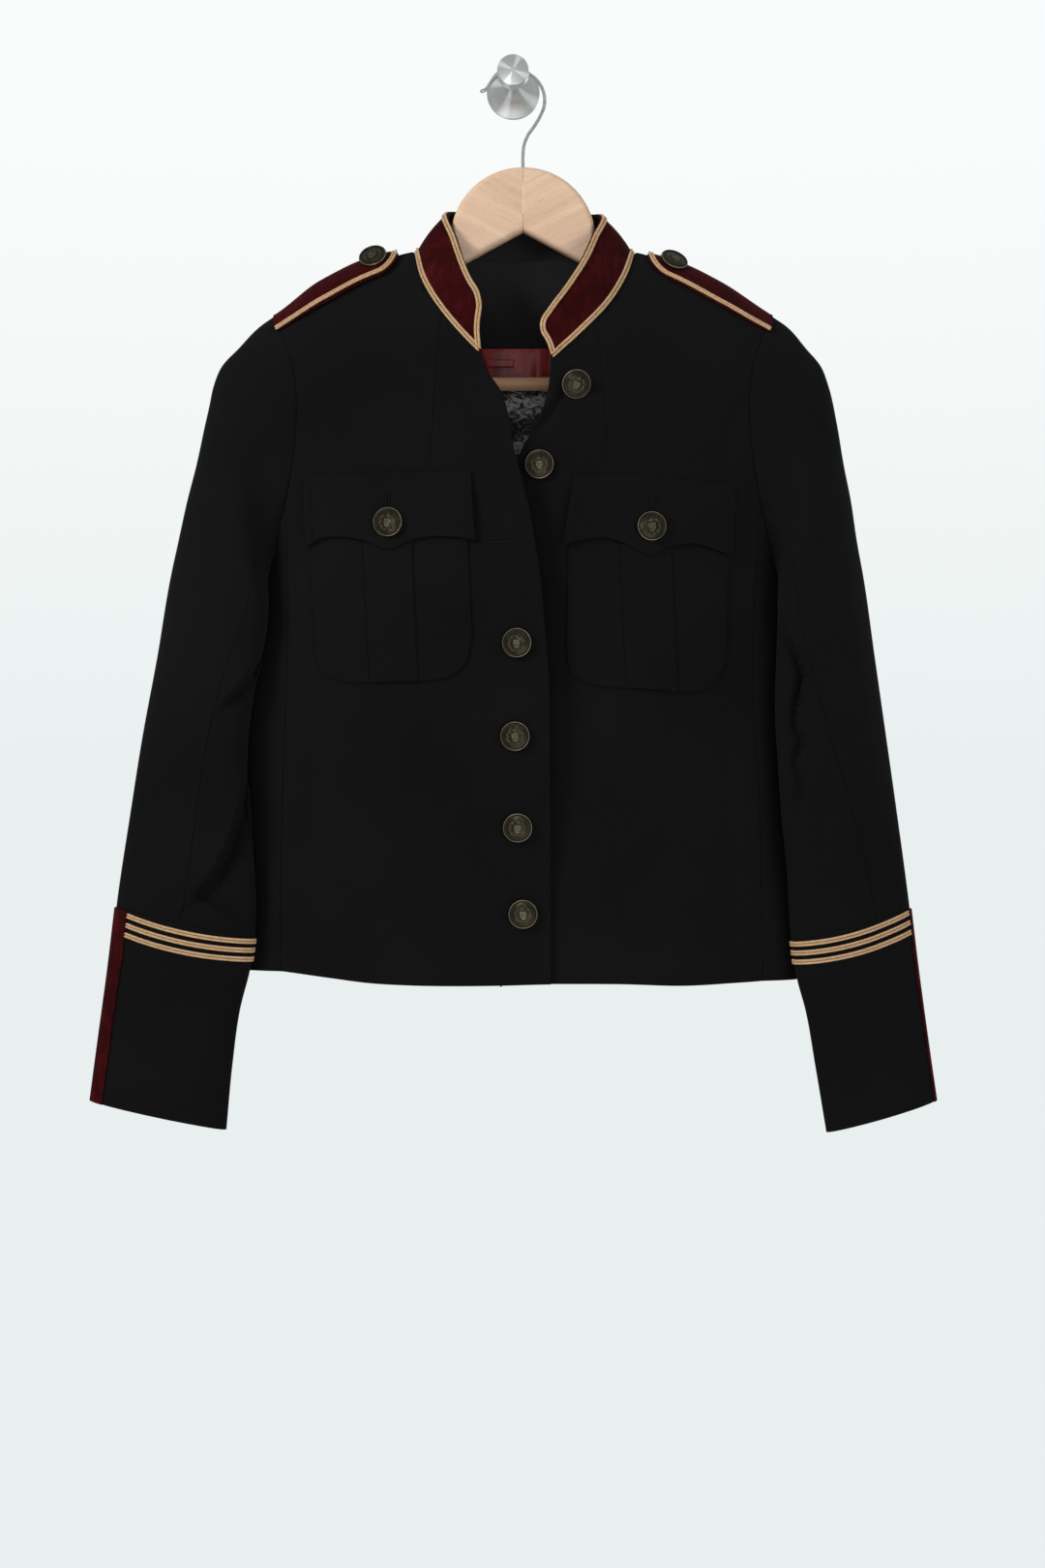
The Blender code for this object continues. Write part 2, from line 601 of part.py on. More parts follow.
def sleeve_points(side, t, angle):
    """Points on the sleeve's outer face at length t (0 armhole, 1 cuff edge) and angle."""
    outer = resample(SLEEVE_OUTER[side], [t])[0]
    inner = resample(SLEEVE_INNER[side], [t**SLEEVE_SHIFT])[0]
    cosine, sine = np.cos(np.radians(angle)), np.sin(np.radians(angle))
    middle, half = (outer + inner) / 2, (outer - inner) / 2
    x = side * (middle[0] + half[0] * cosine)
    z = middle[1] + half[1] * cosine
    blunt = np.sign(sine) * np.abs(sine) ** np.where(cosine > 0, table(t, SLEEVE_BLUNT), 1)
    lean = table(t, SLEEVE_LEAN) * (1 + cosine) / 2 + table(t, SLEEVE_INNER_LEAN) * (1 - cosine) / 2
    y = table(t, SLEEVE_Y) + lean - table(t, SLEEVE_DEPTH) * blunt
    for line, depth, reach in SLEEVE_FOLDS[side]:
        gap, along = distance_to(x, z, line)
        fade = np.clip(sine, 0, 1) * np.sin(np.pi * (0.12 + 0.8 * along))
        y = y + depth * np.exp(-((gap / reach) ** 2)) * fade
    return np.stack([x, y, z], axis=-1)


def sleeve_ring(side, t):
    angle = sleeve_angles(side, t)
    ring = sleeve_points(side, t, angle)
    start = sleeve_points(side, 0.0, sleeve_angles(side, 0.0))
    fade = max(0.0, 1 - t / HEAD_FADE) ** 2
    return ring + (armhole(side)[np.r_[0:COLUMNS, 0]] - start) * fade


def sleeve_grid(side, steps):
    """Rings down the sleeve. Columns run from the outer line, over the front and inside, round the back."""
    return np.stack([sleeve_ring(side, t) for t in steps])


def columns_of(grid, first, last):
    """Columns first to last of a ring grid, counted round and round."""
    return grid[:, np.arange(first, last + 1) % COLUMNS]


def facing_out(grid, side):
    """Columns run to the right as seen from outside: the left sleeve's are counted the other way."""
    return grid if side == RIGHT else grid[:, ::-1]


def make_sleeves(parent):
    for side, word in SIDES.items():
        sleeve = sleeve_grid(side, SLEEVE_STEPS)
        cuff = sleeve_grid(side, CUFF_STEPS)
        top = facing_out(columns_of(sleeve, COLUMN_BACK_SEAM - COLUMNS, COLUMN_FRONT_SEAM), side)
        under = facing_out(columns_of(sleeve, COLUMN_FRONT_SEAM, COLUMN_BACK_SEAM), side)
        add_mesh(f"topsleeve_{word}", *wall(top, CLOTH), black_cloth(), parent)
        add_mesh(f"undersleeve_{word}", *wall(under, CLOTH), black_cloth(), parent)
        add_mesh(f"cuff_{word}", *wall(facing_out(cuff, side), CLOTH, wrap=True), black_cloth(), parent)
        make_cuff_trims(side, word, parent)


def moved_out(grid, distance, wrap=False):
    return grid + grid_normals(grid, wrap) * distance


def make_cuff_trims(side, word, parent):
    """The velvet strip down the cuff's outer edge and the three braids beside it, laid on the cuff."""
    first, last = VELVET_COLUMNS[side]
    strip = facing_out(columns_of(sleeve_grid(side, CUFF_STEPS), first, last), side)
    strip = moved_out(strip, LIE + VELVET)
    add_mesh(f"cuff_velvet_{word}", *wall(strip, VELVET, edge=0.6, bevel=0), velvet(), parent)
    for number in range(3):
        middle = CUFF_BRAID_FIRST + CUFF_BRAID_PITCH * number
        ends = [middle - CUFF_BRAID_WIDTH / 2, middle + CUFF_BRAID_WIDTH / 2]
        steps = [CUFF_START + (1 - CUFF_START) * end / CUFF_LENGTH for end in ends]
        band = facing_out(columns_of(sleeve_grid(side, steps), last, COLUMNS + first), side)
        band = moved_out(band, LIE + BRAID_THICKNESS)
        shape = wall(band, BRAID_THICKNESS, edge=0.4, bevel=0)
        add_mesh(f"cuff_braid_{number + 1}_{word}", *shape, gold_braid(), parent)


# --- collar -------------------------------------------------------------------------------------------


def neck_seam():
    """The neck seam in space, from the right front's edge round the back to the left front's edge."""
    right, left = neck_front(RIGHT), neck_front(LEFT)[::-1]
    back = neck_back()[1:-1]
    return np.vstack([on_front(RIGHT, right[:, 0], right[:, 1]), on_back(back[:, 0], back[:, 1]),
                      on_front(LEFT, left[:, 0], left[:, 1])])


def collar_surface(along, up):
    """Points on the collar at fractions along the neck seam and up the stand."""
    along, up = np.broadcast_arrays(np.asarray(along, float), np.asarray(up, float))
    low = neck_seam()
    stops = [0, NECK_CELLS, NECK_CELLS + BACK_NECK_CELLS, len(low) - 1]
    low_stops, high_stops = lengths(low)[stops], lengths(np.array(COLLAR_TOP, float))[COLLAR_STOPS]
    high = resample(COLLAR_TOP, np.interp(lengths(low), low_stops, high_stops))
    place = along * (len(low) - 1)
    index = np.arange(len(low))
    low = np.stack([np.interp(place, index, axis) for axis in low.T], axis=-1)
    high = np.stack([np.interp(place, index, axis) for axis in high.T], axis=-1)
    out = unit((low - [0, -45, 0]) * [1, 1, 0])
    return low + (high - low) * up[..., None] + out * (COLLAR_BULGE * np.sin(np.pi * up))[..., None]


def collar_grid(out=0.0):
    count = len(neck_seam())
    grid = collar_surface(np.linspace(1, 0, count)[None, :], np.linspace(1, 0, COLLAR_ROWS + 1)[:, None])
    return moved_out(grid, out)


def make_collar(parent):
    add_mesh("collar_outer", *wall(collar_grid(), VELVET, bevel=1.4), velvet(), parent)
    inner = draw_in(collar_grid(-VELVET - GAP - 0.1), 1.8)
    add_mesh("collar_inner", *wall(inner, LINING, bevel=0), black_cloth(), parent)
    along = np.linspace(1, 0, len(neck_seam()))
    middles = {"collar_braid_edge": COLLAR_HEIGHT - BRAID_INSET - BRAID_WIDTH / 2,
               "collar_braid_seam": BRAID_WIDTH / 2 + 0.6}
    for name, middle in middles.items():
        up = (middle + np.array([1, -1]) * BRAID_WIDTH / 2) / COLLAR_HEIGHT
        band = moved_out(collar_surface(along[None, :], up[:, None]), LIE + GAP + BRAID_THICKNESS)
        add_mesh(name, *wall(band, BRAID_THICKNESS, edge=1.0, bevel=0), gold_braid(), parent)


# --- epaulettes ----------------------------------------------------------------------------------------


def over_shoulder(side, x, across):
    """Points on the shoulder at |x|, at distance across along the cloth: negative in front of the ridge."""
    x, across = np.broadcast_arrays(np.asarray(x, float), np.asarray(across, float))
    drops = 60.0 * np.linspace(0, 1, 60) ** 2
    points = np.empty(x.shape + (3,))
    for place in np.ndindex(x.shape):
        z = shoulder_z(x[place]) - drops
        where = np.full_like(z, side * x[place])
        y = front_y(side, where, z) if across[place] < 0 else back_y(where, z)
        run = np.concatenate([[0.0], np.cumsum(np.hypot(np.diff(y), np.diff(z)))])
        distance = abs(across[place])
        points[place] = (side * x[place], np.interp(distance, run, y), np.interp(distance, run, z))
    return points


def strap_half(across):
    return np.where(across < 0, STRAP_FRONT, STRAP_BACK)


def strap_end_x(across):
    """The armhole end of the strap curves in along the seam."""
    return STRAP_END_X - 4.5 * (across / STRAP_FRONT) ** 2


def strap_grid(side):
    """Rows across the strap, columns along it from its round end to the armhole."""
    turn = np.radians(np.linspace(82, -82, 9))[:, None]
    along = np.linspace(0, 1, 7)[None, :]
    across = strap_half(-turn) * np.sin(turn) / math.sin(math.radians(82))
    tip = STRAP_TIP_X + STRAP_ROUND * (1 - np.cos(turn))
    x = tip + (strap_end_x(across) - tip) * along
    grid = over_shoulder(side, x, across + 0 * x)
    return facing_out(grid[:, ::-1], side)


def strap_line(inset, count):
    """The strap's outline set in by inset: front edge from the armhole, round the tip, back edge."""
    turn = np.radians(np.linspace(-90, 90, count))
    tip_x = STRAP_TIP_X + inset + (STRAP_ROUND - inset) * (1 - np.cos(turn))
    across = (strap_half(turn) - inset) * np.sin(turn)
    ends = np.linspace(1, 0, 6)[:-1]
    straight = STRAP_TIP_X + STRAP_ROUND
    front = [(straight + (strap_end_x(across[0]) - straight) * f, across[0]) for f in ends]
    back = [(straight + (strap_end_x(across[-1]) - straight) * f, across[-1]) for f in ends[::-1]]
    return np.array(front + list(zip(tip_x, across)) + back)


def make_epaulettes(parent):
    for side, word in SIDES.items():
        strap = moved_out(strap_grid(side), STRAP_LIE + VELVET)
        add_mesh(f"epaulette_{word}", *wall(strap, VELVET, edge=0.2, bevel=0.3), velvet(), parent)
        lines = np.stack([strap_line(BRAID_INSET, 11), strap_line(BRAID_INSET + STRAP_BRAID, 11)])
        band = facing_out(over_shoulder(side, lines[..., 0], lines[..., 1])[:, ::-1], side)
        band = moved_out(band, STRAP_LIE + VELVET + LIE + BRAID_THICKNESS)
        add_mesh(f"epaulette_braid_{word}", *wall(band, BRAID_THICKNESS, bevel=0), gold_braid(), parent)


# --- pockets ---------------------------------------------------------------------------------------------


def lie_between(side, top, low, rows, out):
    """A grid on a front between two rows of (x, z) points, moved out from it."""
    down = np.linspace(0, 1, rows + 1)[:, None, None]
    flat = top[None] * (1 - down) + low[None] * down
    return on_front(side, flat[..., 0], flat[..., 1], out)


def pocket_grid(side):
    """A patch pocket: its columns follow the box pleat's two folds, and the pleat stands proud."""
    shape = POCKET[side]
    fine = resample(shape["low"], np.linspace(0, 1, 400))
    fold_1_top, fold_1_low, fold_2_top, fold_2_low = shape["pleat"]
    width = 1.0
    stops = [0.0]
    tops = [shape["top"][0][0]]
    for top_x, low_x in ((fold_1_top, fold_1_low), (fold_2_top, fold_2_low)):
        for shift in (-width / 2, width / 2):
            stops.append(float(np.interp(low_x + shift, fine[:, 0], np.linspace(0, 1, 400))))
            tops.append(top_x + shift)
    stops.append(1.0)
    tops.append(shape["top"][1][0])
    at = np.unique(np.round(np.concatenate([np.linspace(0, 1, 13), stops[1:-1]]), 5))
    keep = [f for f in at if min(abs(f - s) for s in stops) < 1e-4 or min(abs(f - s) for s in stops) > 0.02]
    at = np.array(keep)
    top_x = np.interp(at, stops, tops)
    top_z = np.interp(top_x, [p[0] for p in shape["top"]], [p[1] for p in shape["top"]])
    proud = (at > stops[1] + 1e-4) & (at < stops[4] - 1e-4)
    out = LIE + POCKET_CLOTH + PLEAT_RISE * proud
    return lie_between(side, np.stack([top_x, top_z], axis=1), resample(shape["low"], at), 4, out[None, :])


def flap_grid(side):
    shape = FLAP[side]
    low = resample(shape["low"], np.linspace(0, 1, 15))
    at = (low[:, 0] - low[0, 0]) / (low[-1, 0] - low[0, 0])
    start, end = np.array(shape["top"], float)
    top = start + (end - start) * at[:, None]
    out = np.array([LIE + FLAP_CLOTH, FLAP_OUT, FLAP_OUT])[:, None]
    return lie_between(side, top, low, 2, out)


def make_pockets(parent):
    for side, word in SIDES.items():
        pocket = wall(pocket_grid(side), POCKET_CLOTH, edge=0, bevel=0)
        add_mesh(f"pocket_{word}", *pocket, black_cloth(), parent)
        flap = wall(flap_grid(side), FLAP_CLOTH, edge=0, bevel=0)
        add_mesh(f"pocket_flap_{word}", *flap, black_cloth(), parent)


# --- buttons -----------------------------------------------------------------------------------------------


def make_button(name, place, normal, parent):
    """A domed button with a raised rim, its flat back on place and its face along normal."""
    points, faces = turned(BUTTON_PROFILE, 16)
    button = add_mesh(name, points, faces, dark_brass(), parent)
    button.location = Vector(place) * MM
    button.rotation_mode = "QUATERNION"
    button.rotation_quaternion = Vector((0, 0, 1)).rotation_difference(Vector(normal))


def front_normal(side, x, z):
    return unit(on_front(side, x, z, 1.0) - on_front(side, x, z))


def make_buttons(parent):
    for number, (side, x, z) in enumerate(FRONT_BUTTONS, 1):
        normal = unit(front_normal(side, x, z) + BUTTON_TILT.get(number, 0))
        place = on_front(side, x, z) + normal * BUTTON_OUT[number]
        make_button(f"button_front_{number}", place, normal, parent)
    for side, (x, z) in FLAP_BUTTONS.items():
        normal = front_normal(side, x, z)
        place = on_front(side, x, z) + normal * (FLAP_OUT + LIE)
        make_button(f"button_flap_{SIDES[side]}", place, normal, parent)
    for side, x in STRAP_BUTTON_X.items():
        ridge, ahead = over_shoulder(side, [x, x], [STRAP_BUTTON_ACROSS - 3, STRAP_BUTTON_ACROSS + 3])
        beside = over_shoulder(side, [x + 6], [STRAP_BUTTON_ACROSS])[0]
        middle = (ridge + ahead) / 2
        normal = unit(np.cross(beside - middle, ahead - ridge)) * side
        normal = normal if normal[2] > 0 else -normal
        place = middle + normal * (STRAP_LIE + VELVET + BRAID_THICKNESS + 2 * LIE)
        make_button(f"button_epaulette_{SIDES[side]}", place, normal, parent)


# --- inside the neck ---------------------------------------------------------------------------------------


def inside_back(x, z, depth):
    """Points inside the back, depth in front of its outer face."""
    return on_back(x, z) - np.array([0, depth, 0])


def inside_patch(left_edge, right_edge, rows, columns, depth):
    """A grid inside the back between two edges, each a list of (z, x) from top to bottom."""
    down = np.linspace(0, 1, rows + 1)
    left = resample([(x, z) for z, x in left_edge], down)
    right = resample([(x, z) for z, x in right_edge], down)
    across = np.linspace(0, 1, columns + 1)[None, :, None]
    flat = left[:, None] * (1 - across) + right[:, None] * across
    return inside_back(flat[..., 0], flat[..., 1], depth)[:, ::-1]


def make_neck_inside(parent):
    depth = CLOTH + 1.2
    facing = inside_patch(FACING_EDGE, [(z, -x) for z, x in FACING_EDGE], 4, 8, depth)
    add_mesh("back_neck_facing", *wall(facing, LINING, bevel=0), black_cloth(), parent)
    lining = inside_patch(LINING_EDGE, [(z, -x) for z, x in LINING_EDGE], 9, 8, depth)
    add_mesh("back_lining", *wall(lining, LINING, bevel=0), red_satin(), parent)
    depth += LINING + 0.5
    patches = (("neck_label", LABEL, black_cloth()), ("hang_loop", LOOP, red_satin()))
    for name, (x_low, x_high, top, low), look in patches:
        patch = inside_patch([(top, x_low), (low, x_low)], [(top, x_high), (low, x_high)], 2, 4, depth)
        add_mesh(name, *wall(patch, LINING, edge=0, bevel=0), look, parent)


# --- hanger and peg --------------------------------------------------------------------------------


def hanger_outline():
    """(x, z) round one half of the hanger, from the mitre's top over the neck to the arm's end and back."""
    neck = [(NECK_RADIUS * math.sin(math.radians(a)), NECK_CENTRE_Z + NECK_RADIUS * math.cos(math.radians(a)))
            for a in range(9, 83, 9)]
    arm = [(x, float(shoulder_z(x)) - HANGER_CLEAR - 2.5 * float(smoothstep((x - 130) / 50)))
           for x in (84, 100, 122, 146, 169, 186)]
    start = [(0, NECK_CENTRE_Z + NECK_RADIUS)]
    top = resample(start + neck + HANGER_FILLET + arm + HANGER_END, np.linspace(0, 1, 34))
    top[0] = start[0]
    return np.vstack([top, HANGER_LOW])


def set_in(outline, inset):
    """The outline drawn in by inset, except along the mitre at x = 0."""
    before, after = np.roll(outline, 1, axis=0), np.roll(outline, -1, axis=0)
    edge_in, edge_out = unit(outline - before), unit(after - outline)
    normal = unit(np.stack([(edge_in + edge_out)[:, 1], -(edge_in + edge_out)[:, 0]], axis=1))
    mitre = outline[:, 0] < 0.01
    normal[mitre] = [[0, -1], [0, 1]]
    return outline + normal * inset


def make_hanger(parent):
    outline = hanger_outline()
    bar_place, bar_length = (0, HANGER_Y, BAR_Z), 2 * (BAR_HALF + 0.5)
    bar_hole = cutter("bar_hole", BAR_RADIUS + HOLE_CLEAR, bar_place, bar_length, True, parent)
    hook_place = (0, HANGER_Y, HOOK_HOLE_Z)
    hook_hole = cutter("hook_hole", HOOK_RADIUS + HOLE_CLEAR, hook_place, HOOK_HOLE_LENGTH, False, parent)
    for side, word in SIDES.items():
        layers = []
        for turn in (0, 45, 90):
            sink = HANGER_ROUND * (1 - math.sin(math.radians(turn)))
            layers.append((-HANGER_THICK / 2 + HANGER_ROUND * (1 - math.cos(math.radians(turn))), sink))
        layers += [(-y, sink) for y, sink in layers[::-1]]
        points = []
        for y, sink in layers:
            flat = set_in(outline, sink) * [side, 1] + [side * GAP / 2, 0]
            points += [(x, HANGER_Y + y, z) for x, z in flat]
        count = len(outline)
        faces = [tuple(range(count)), tuple(range(len(points) - 1, len(points) - 1 - count, -1))]
        for layer in range(len(layers) - 1):
            for k in range(count):
                a, b = layer * count + k, layer * count + (k + 1) % count
                faces.append((a, b, b + count, a + count))
        arm = add_mesh(f"hanger_arm_{word}", points, faces, beech(), parent)
        for hole in (bar_hole, hook_hole):
            cut = arm.modifiers.new(hole.name, "BOOLEAN")
            cut.object = hole
    bar = [(0, -BAR_HALF), (BAR_RADIUS - 0.6, -BAR_HALF), (BAR_RADIUS, 0.6 - BAR_HALF),
           (BAR_RADIUS, BAR_HALF - 0.6), (BAR_RADIUS - 0.6, BAR_HALF), (0, BAR_HALF)]
    rod = add_mesh("hanger_bar", *turned(bar, 16), beech(), parent)
    rod.rotation_euler = (0, math.pi / 2, 0)
    rod.location = (0, HANGER_Y * MM, BAR_Z * MM)


def cutter(name, radius, middle, length, across, parent):
    """A hidden cylinder along X, or upright, that a Boolean takes away."""
    profile = [(0, -length / 2), (radius, -length / 2), (radius, length / 2), (0, length / 2)]
    tool = add_mesh(name, *turned(profile, 16), beech(), parent)
    tool.location = Vector(middle) * MM
    tool.rotation_euler = (0, math.pi / 2 if across else 0, 0)
    tool.hide_render = True
    tool.display_type = "WIRE"
    return tool


def make_hook(parent):
    middle_x, middle_z = HOOK_CENTRE
    turns = np.radians(range(150, -31, -15))
    arc = [(middle_x + HOOK_BEND * math.cos(a), middle_z + HOOK_BEND * math.sin(a)) for a in turns]
    route = resample(HOOK_START + arc + HOOK_SHANK, np.linspace(0, 1, 42))
    curve = bpy.data.curves.new("hanger_hook", "CURVE")
    curve.dimensions = "3D"
    curve.bevel_depth = HOOK_RADIUS * MM
    curve.bevel_resolution = 2
    curve.use_fill_caps = True
    spline = curve.splines.new("POLY")
    spline.points.add(len(route) - 1)
    for point, (x, z) in zip(spline.points, route):
        point.co = (x * MM, HANGER_Y * MM, z * MM, 1)
    curve.materials.append(material("polished_wire", (0.6, 0.6, 0.6), 0.15, 1.0))
    hook = bpy.data.objects.new("hanger_hook", curve)
    bpy.context.scene.collection.objects.link(hook)
    hook.parent = parent


def make_peg(parent):
    look = material("brushed_steel", (0.55, 0.55, 0.54), 0.3, 1.0)
    peg = add_mesh("wall_peg", *turned(PEG_PROFILE, 28), look, parent)
    peg.rotation_euler = (math.pi / 2, 0, 0)
    peg.location = (-CENTRE_X * MM, 0, 0)


# --- main ---------------------------------------------------------------------------------------------


def clear_scene():
    for thing in list(bpy.data.objects):
        bpy.data.objects.remove(thing, do_unlink=True)


def main():
    clear_scene()
    centre = bpy.data.objects.new("garment_centre", None)
    centre.location = (CENTRE_X * MM, 0, 0)
    bpy.context.scene.collection.objects.link(centre)
    make_body(centre)
    make_sleeves(centre)
    make_collar(centre)
    make_epaulettes(centre)
    make_pockets(centre)
    make_buttons(centre)
    make_neck_inside(centre)
    make_hanger(centre)
    make_hook(centre)
    make_peg(centre)


main()
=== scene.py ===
"""The looks of the band jacket: fine cloth, braid, buttons, hanger and peg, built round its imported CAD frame.

Sizes are in millimetres from the garment's centre line, and are turned into metres where a mesh is made.
"right" and "left" are the wearer's, so the right side is at -X. The body's form repeats the CAD part's; what is
added here is the cloth's relief, rounded edges, stitches, twisted braid and the detail of the metal and wood.
"""

import functools
import math

import bpy
import numpy as np
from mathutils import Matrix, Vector


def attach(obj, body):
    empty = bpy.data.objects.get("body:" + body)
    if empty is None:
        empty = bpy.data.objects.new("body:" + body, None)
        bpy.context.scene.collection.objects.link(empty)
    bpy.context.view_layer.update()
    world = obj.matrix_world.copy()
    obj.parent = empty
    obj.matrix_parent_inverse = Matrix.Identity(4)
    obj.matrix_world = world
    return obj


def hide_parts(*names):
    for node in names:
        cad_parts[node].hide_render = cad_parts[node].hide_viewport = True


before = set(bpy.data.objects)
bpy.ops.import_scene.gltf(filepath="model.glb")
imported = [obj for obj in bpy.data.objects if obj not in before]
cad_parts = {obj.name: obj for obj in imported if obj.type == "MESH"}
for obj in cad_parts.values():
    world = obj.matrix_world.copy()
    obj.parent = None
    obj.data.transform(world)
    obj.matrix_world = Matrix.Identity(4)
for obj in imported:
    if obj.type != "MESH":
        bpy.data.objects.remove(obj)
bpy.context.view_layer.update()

MM = 0.001
RIGHT, LEFT = -1, 1
SIDES = {RIGHT: "right", LEFT: "left"}
CENTRE_X = 7.5
CLOTH, VELVET, LINING = 1.6, 1.3, 0.8
LIE = 0.2  # from one layer to the next where it lies on it
SEAM_INSET = 0.03  # half the gap between two pieces at a seam

# Body form: a rounded section that hangs from the shoulder ridge over the hanger.
RIDGE_Y = -30.0
FOLD_Y = -45.0
FRONT_ROUND, BACK_ROUND = 2.4, 4.0
FRONT_RUN, BACK_RUN = 85.0, 55.0
FRONT_SLOPE, BACK_SLOPE = 1.35, 2.0
SIDE_CLEAR = 0.4  # from the side fold to the line where the sleeve meets it

SHOULDER_LINE = [(0, -104), (45, -117), (81, -129.8), (90, -131.8), (100, -135), (122, -142.6), (146, -154.6),
                 (169, -168.0), (187, -178.6)]
FRONT_DEPTH = [(-676, 36), (-520, 44), (-420, 47), (-300, 47), (-219, 42), (-180, 38), (-130, 30)]
BACK_DEPTH = [(-676, 30), (-520, 32), (-300, 33), (-130, 33)]
BODY_EDGE = {
    RIGHT: [(-676, 203), (-657, 199.5), (-625, 197), (-581, 199.4), (-523, 203.6), (-494, 202.5),
            (-451, 196), (-408, 187.5), (-377, 187), (-320, 191), (-250, 200), (-176, 214)],
    LEFT: [(-677, 200.7), (-643, 198), (-594, 195), (-552, 190.5), (-520, 188.4), (-477, 186),
           (-434, 187), (-377, 187), (-320, 191), (-250, 200), (-176, 214)],
}
HEM_LINE = [(-203, -666), (-170, -669.5), (-141, -673), (-112, -676.5), (-83, -678), (-18, -678),
            (20, -677), (70, -677), (120, -678.5), (154, -677), (200, -674.5)]

# Neck, armholes and seams.
NECK_SIDE_X = {RIGHT: 80.7, LEFT: 82.9}
NECK_SEAM = {
    RIGHT: [(-30, -218), (-46.4, -201.4), (-60.2, -183), (-74.4, -157), (-80.7, -130.5)],
    LEFT: [(20, -220.5), (42, -201.4), (60.2, -181.4), (75.5, -154.8), (82.9, -131.2)],
}
BACK_NECK = [(-80.7, -130.5), (-60, -133.6), (-37, -135.2), (0, -135.6), (37, -135.2), (60, -133.6), (82.9, -131.2)]
ARMHOLE_FRONT_Z = [-177.5, -179.5, -186, -200, -225, -260, -295, -325]
ARMHOLE_BACK_Z = [-177.5, -180, -188, -206, -235, -280, -325]
ARMHOLE_FRONT_X = [(-325, 175), (-295, 169.5), (-265, 166.5), (-240, 167), (-215, 172), (-192, 181), (-177.5, 187)]
ARMHOLE_BACK_X = [(-325, 174), (-280, 171), (-235, 172), (-200, 179), (-177.5, 187)]
UNDERARM_Z = -377.0
CORNER_Z = -325.0
FRONT_SEAM_X = {
    RIGHT: [(-676, 179), (-600, 178.3), (-520, 175.8), (-430, 173), (-325, 175)],
    LEFT: [(-676, 177), (-590, 175.4), (-540, 174), (-455, 169), (-400, 170.5), (-325, 175)],
}
BACK_SEAM_X = 174.0
HEM_SEAM_X = 178.0  # of the front seam, at the hem

# Front edges. The right front lies on top of the left one and stands proud of it at the chest.
FRONT_EDGE = {
    RIGHT: [(-30, -218), (-26, -230), (-16, -246), (-11.6, -260), (-7.4, -285), (-1.8, -307.5), (3.9, -330),
            (9.5, -362), (13, -386), (15, -410), (18.6, -453), (19.3, -495.5), (20, -566), (20.3, -677)],
    LEFT: [(20, -220.5), (19, -236), (18, -244), (14.5, -257), (6.7, -274), (-0.4, -286), (-10, -320),
           (-17, -380), (-16.7, -520), (-16.7, -679.5)],
}
PROUD = [(-676, 1.5), (-600, 2.5), (-520, 9), (-440, 12), (-360, 12), (-290, 8), (-219, 3)]
PROUD_FROM, PROUD_SPAN = -80.0, 100.0
UNDER_SINK, UNDER_SPAN = 3.4, 44.0

# Sleeves: the outer and the inner line of each, from the armhole to the cuff's edge.
SLEEVE_OUTER = {
    RIGHT: [(187, -177.5), (200, -187), (214, -202), (227.5, -217), (233, -231), (236, -246), (239, -260),
            (245, -290), (252, -319), (258, -348), (264, -377), (273.5, -436), (284, -494), (293, -552),
            (302, -611), (309, -668), (317, -726), (322.5, -767)],
    LEFT: [(187, -177.5), (200.4, -187), (213, -202), (225, -217), (230, -231), (236, -260), (240.6, -290),
           (246, -319), (250, -348), (255, -377), (263, -436), (271, -494), (279, -552), (287, -611),
           (294, -668), (302, -726), (308, -767)],
}
SLEEVE_INNER = {
    RIGHT: [(188.2, -377), (187.6, -412), (194.8, -451), (201.2, -494), (202.2, -523), (198, -581), (196.4, -625),
            (201, -665), (209.4, -697), (215.9, -740), (221, -788)],
    LEFT: [(188.2, -377), (186.2, -434), (184.8, -477), (187.2, -520), (189.4, -552), (193.8, -594), (197.4, -643),
           (202.5, -675), (208.8, -697), (217, -740), (226, -790)],
}
SLEEVE_SHIFT = 1.6  # power that holds the inner line back while the outer one rounds the sleeve head
SLEEVE_DEPTH = [(0, 27), (0.16, 27), (0.31, 26), (0.55, 21), (0.765, 15.5), (1, 13.5)]
SLEEVE_Y = [(0, -47), (0.3, -47), (0.6, -46), (1, -45)]
SLEEVE_LEAN = [(0, 17), (0.15, 16), (0.35, 7), (0.6, 0), (1, 0)]
SLEEVE_INNER_LEAN = [(0, 0), (0.08, -6), (0.17, -22), (0.3, -25), (0.7, -24), (0.85, -14), (1, -4)]
SLEEVE_BLUNT = [(0, 0.68), (0.2, 0.72), (0.45, 1), (1, 1)]  # power of the sine: under 1 is blunter outside
HEAD_FADE = 0.25
CUFF_START = 0.763
FRONT_SEAM_ANGLE = {
    RIGHT: [(0, 119), (0.25, 128), (0.5, 107), (0.7, 92), (1, 84)],
    LEFT: [(0, 119), (0.25, 122), (0.5, 95), (0.7, 72), (1, 63)],
}
BACK_SEAM_ANGLE = {RIGHT: 325.0, LEFT: 305.0}
VELVET_COLUMNS = {RIGHT: (-16, 24), LEFT: (-24, 16)}

# Collar: its top edge from the right front corner round the neck to the left one.
COLLAR_TOP = [(-31.4, -84, -183), (-33, -80, -169), (-37.6, -73, -159.5), (-43.3, -62, -144), (-49.5, -46, -122),
              (-56.5, -29, -99), (-50, -17.5, -95.5), (-28, -14.3, -95.5), (0, -14, -96), (28, -14.3, -96.5),
              (51, -17.5, -97.5), (58.3, -29, -101), (51.7, -46, -120.5), (42.6, -62, -143), (30.2, -74, -165),
              (18.5, -82, -183), (13.2, -85, -193), (14.5, -86, -203)]
COLLAR_STOPS = [0, 5, 11, 17]  # its ends, and its points above the two sides of the neck
COLLAR_BULGE = 2.5

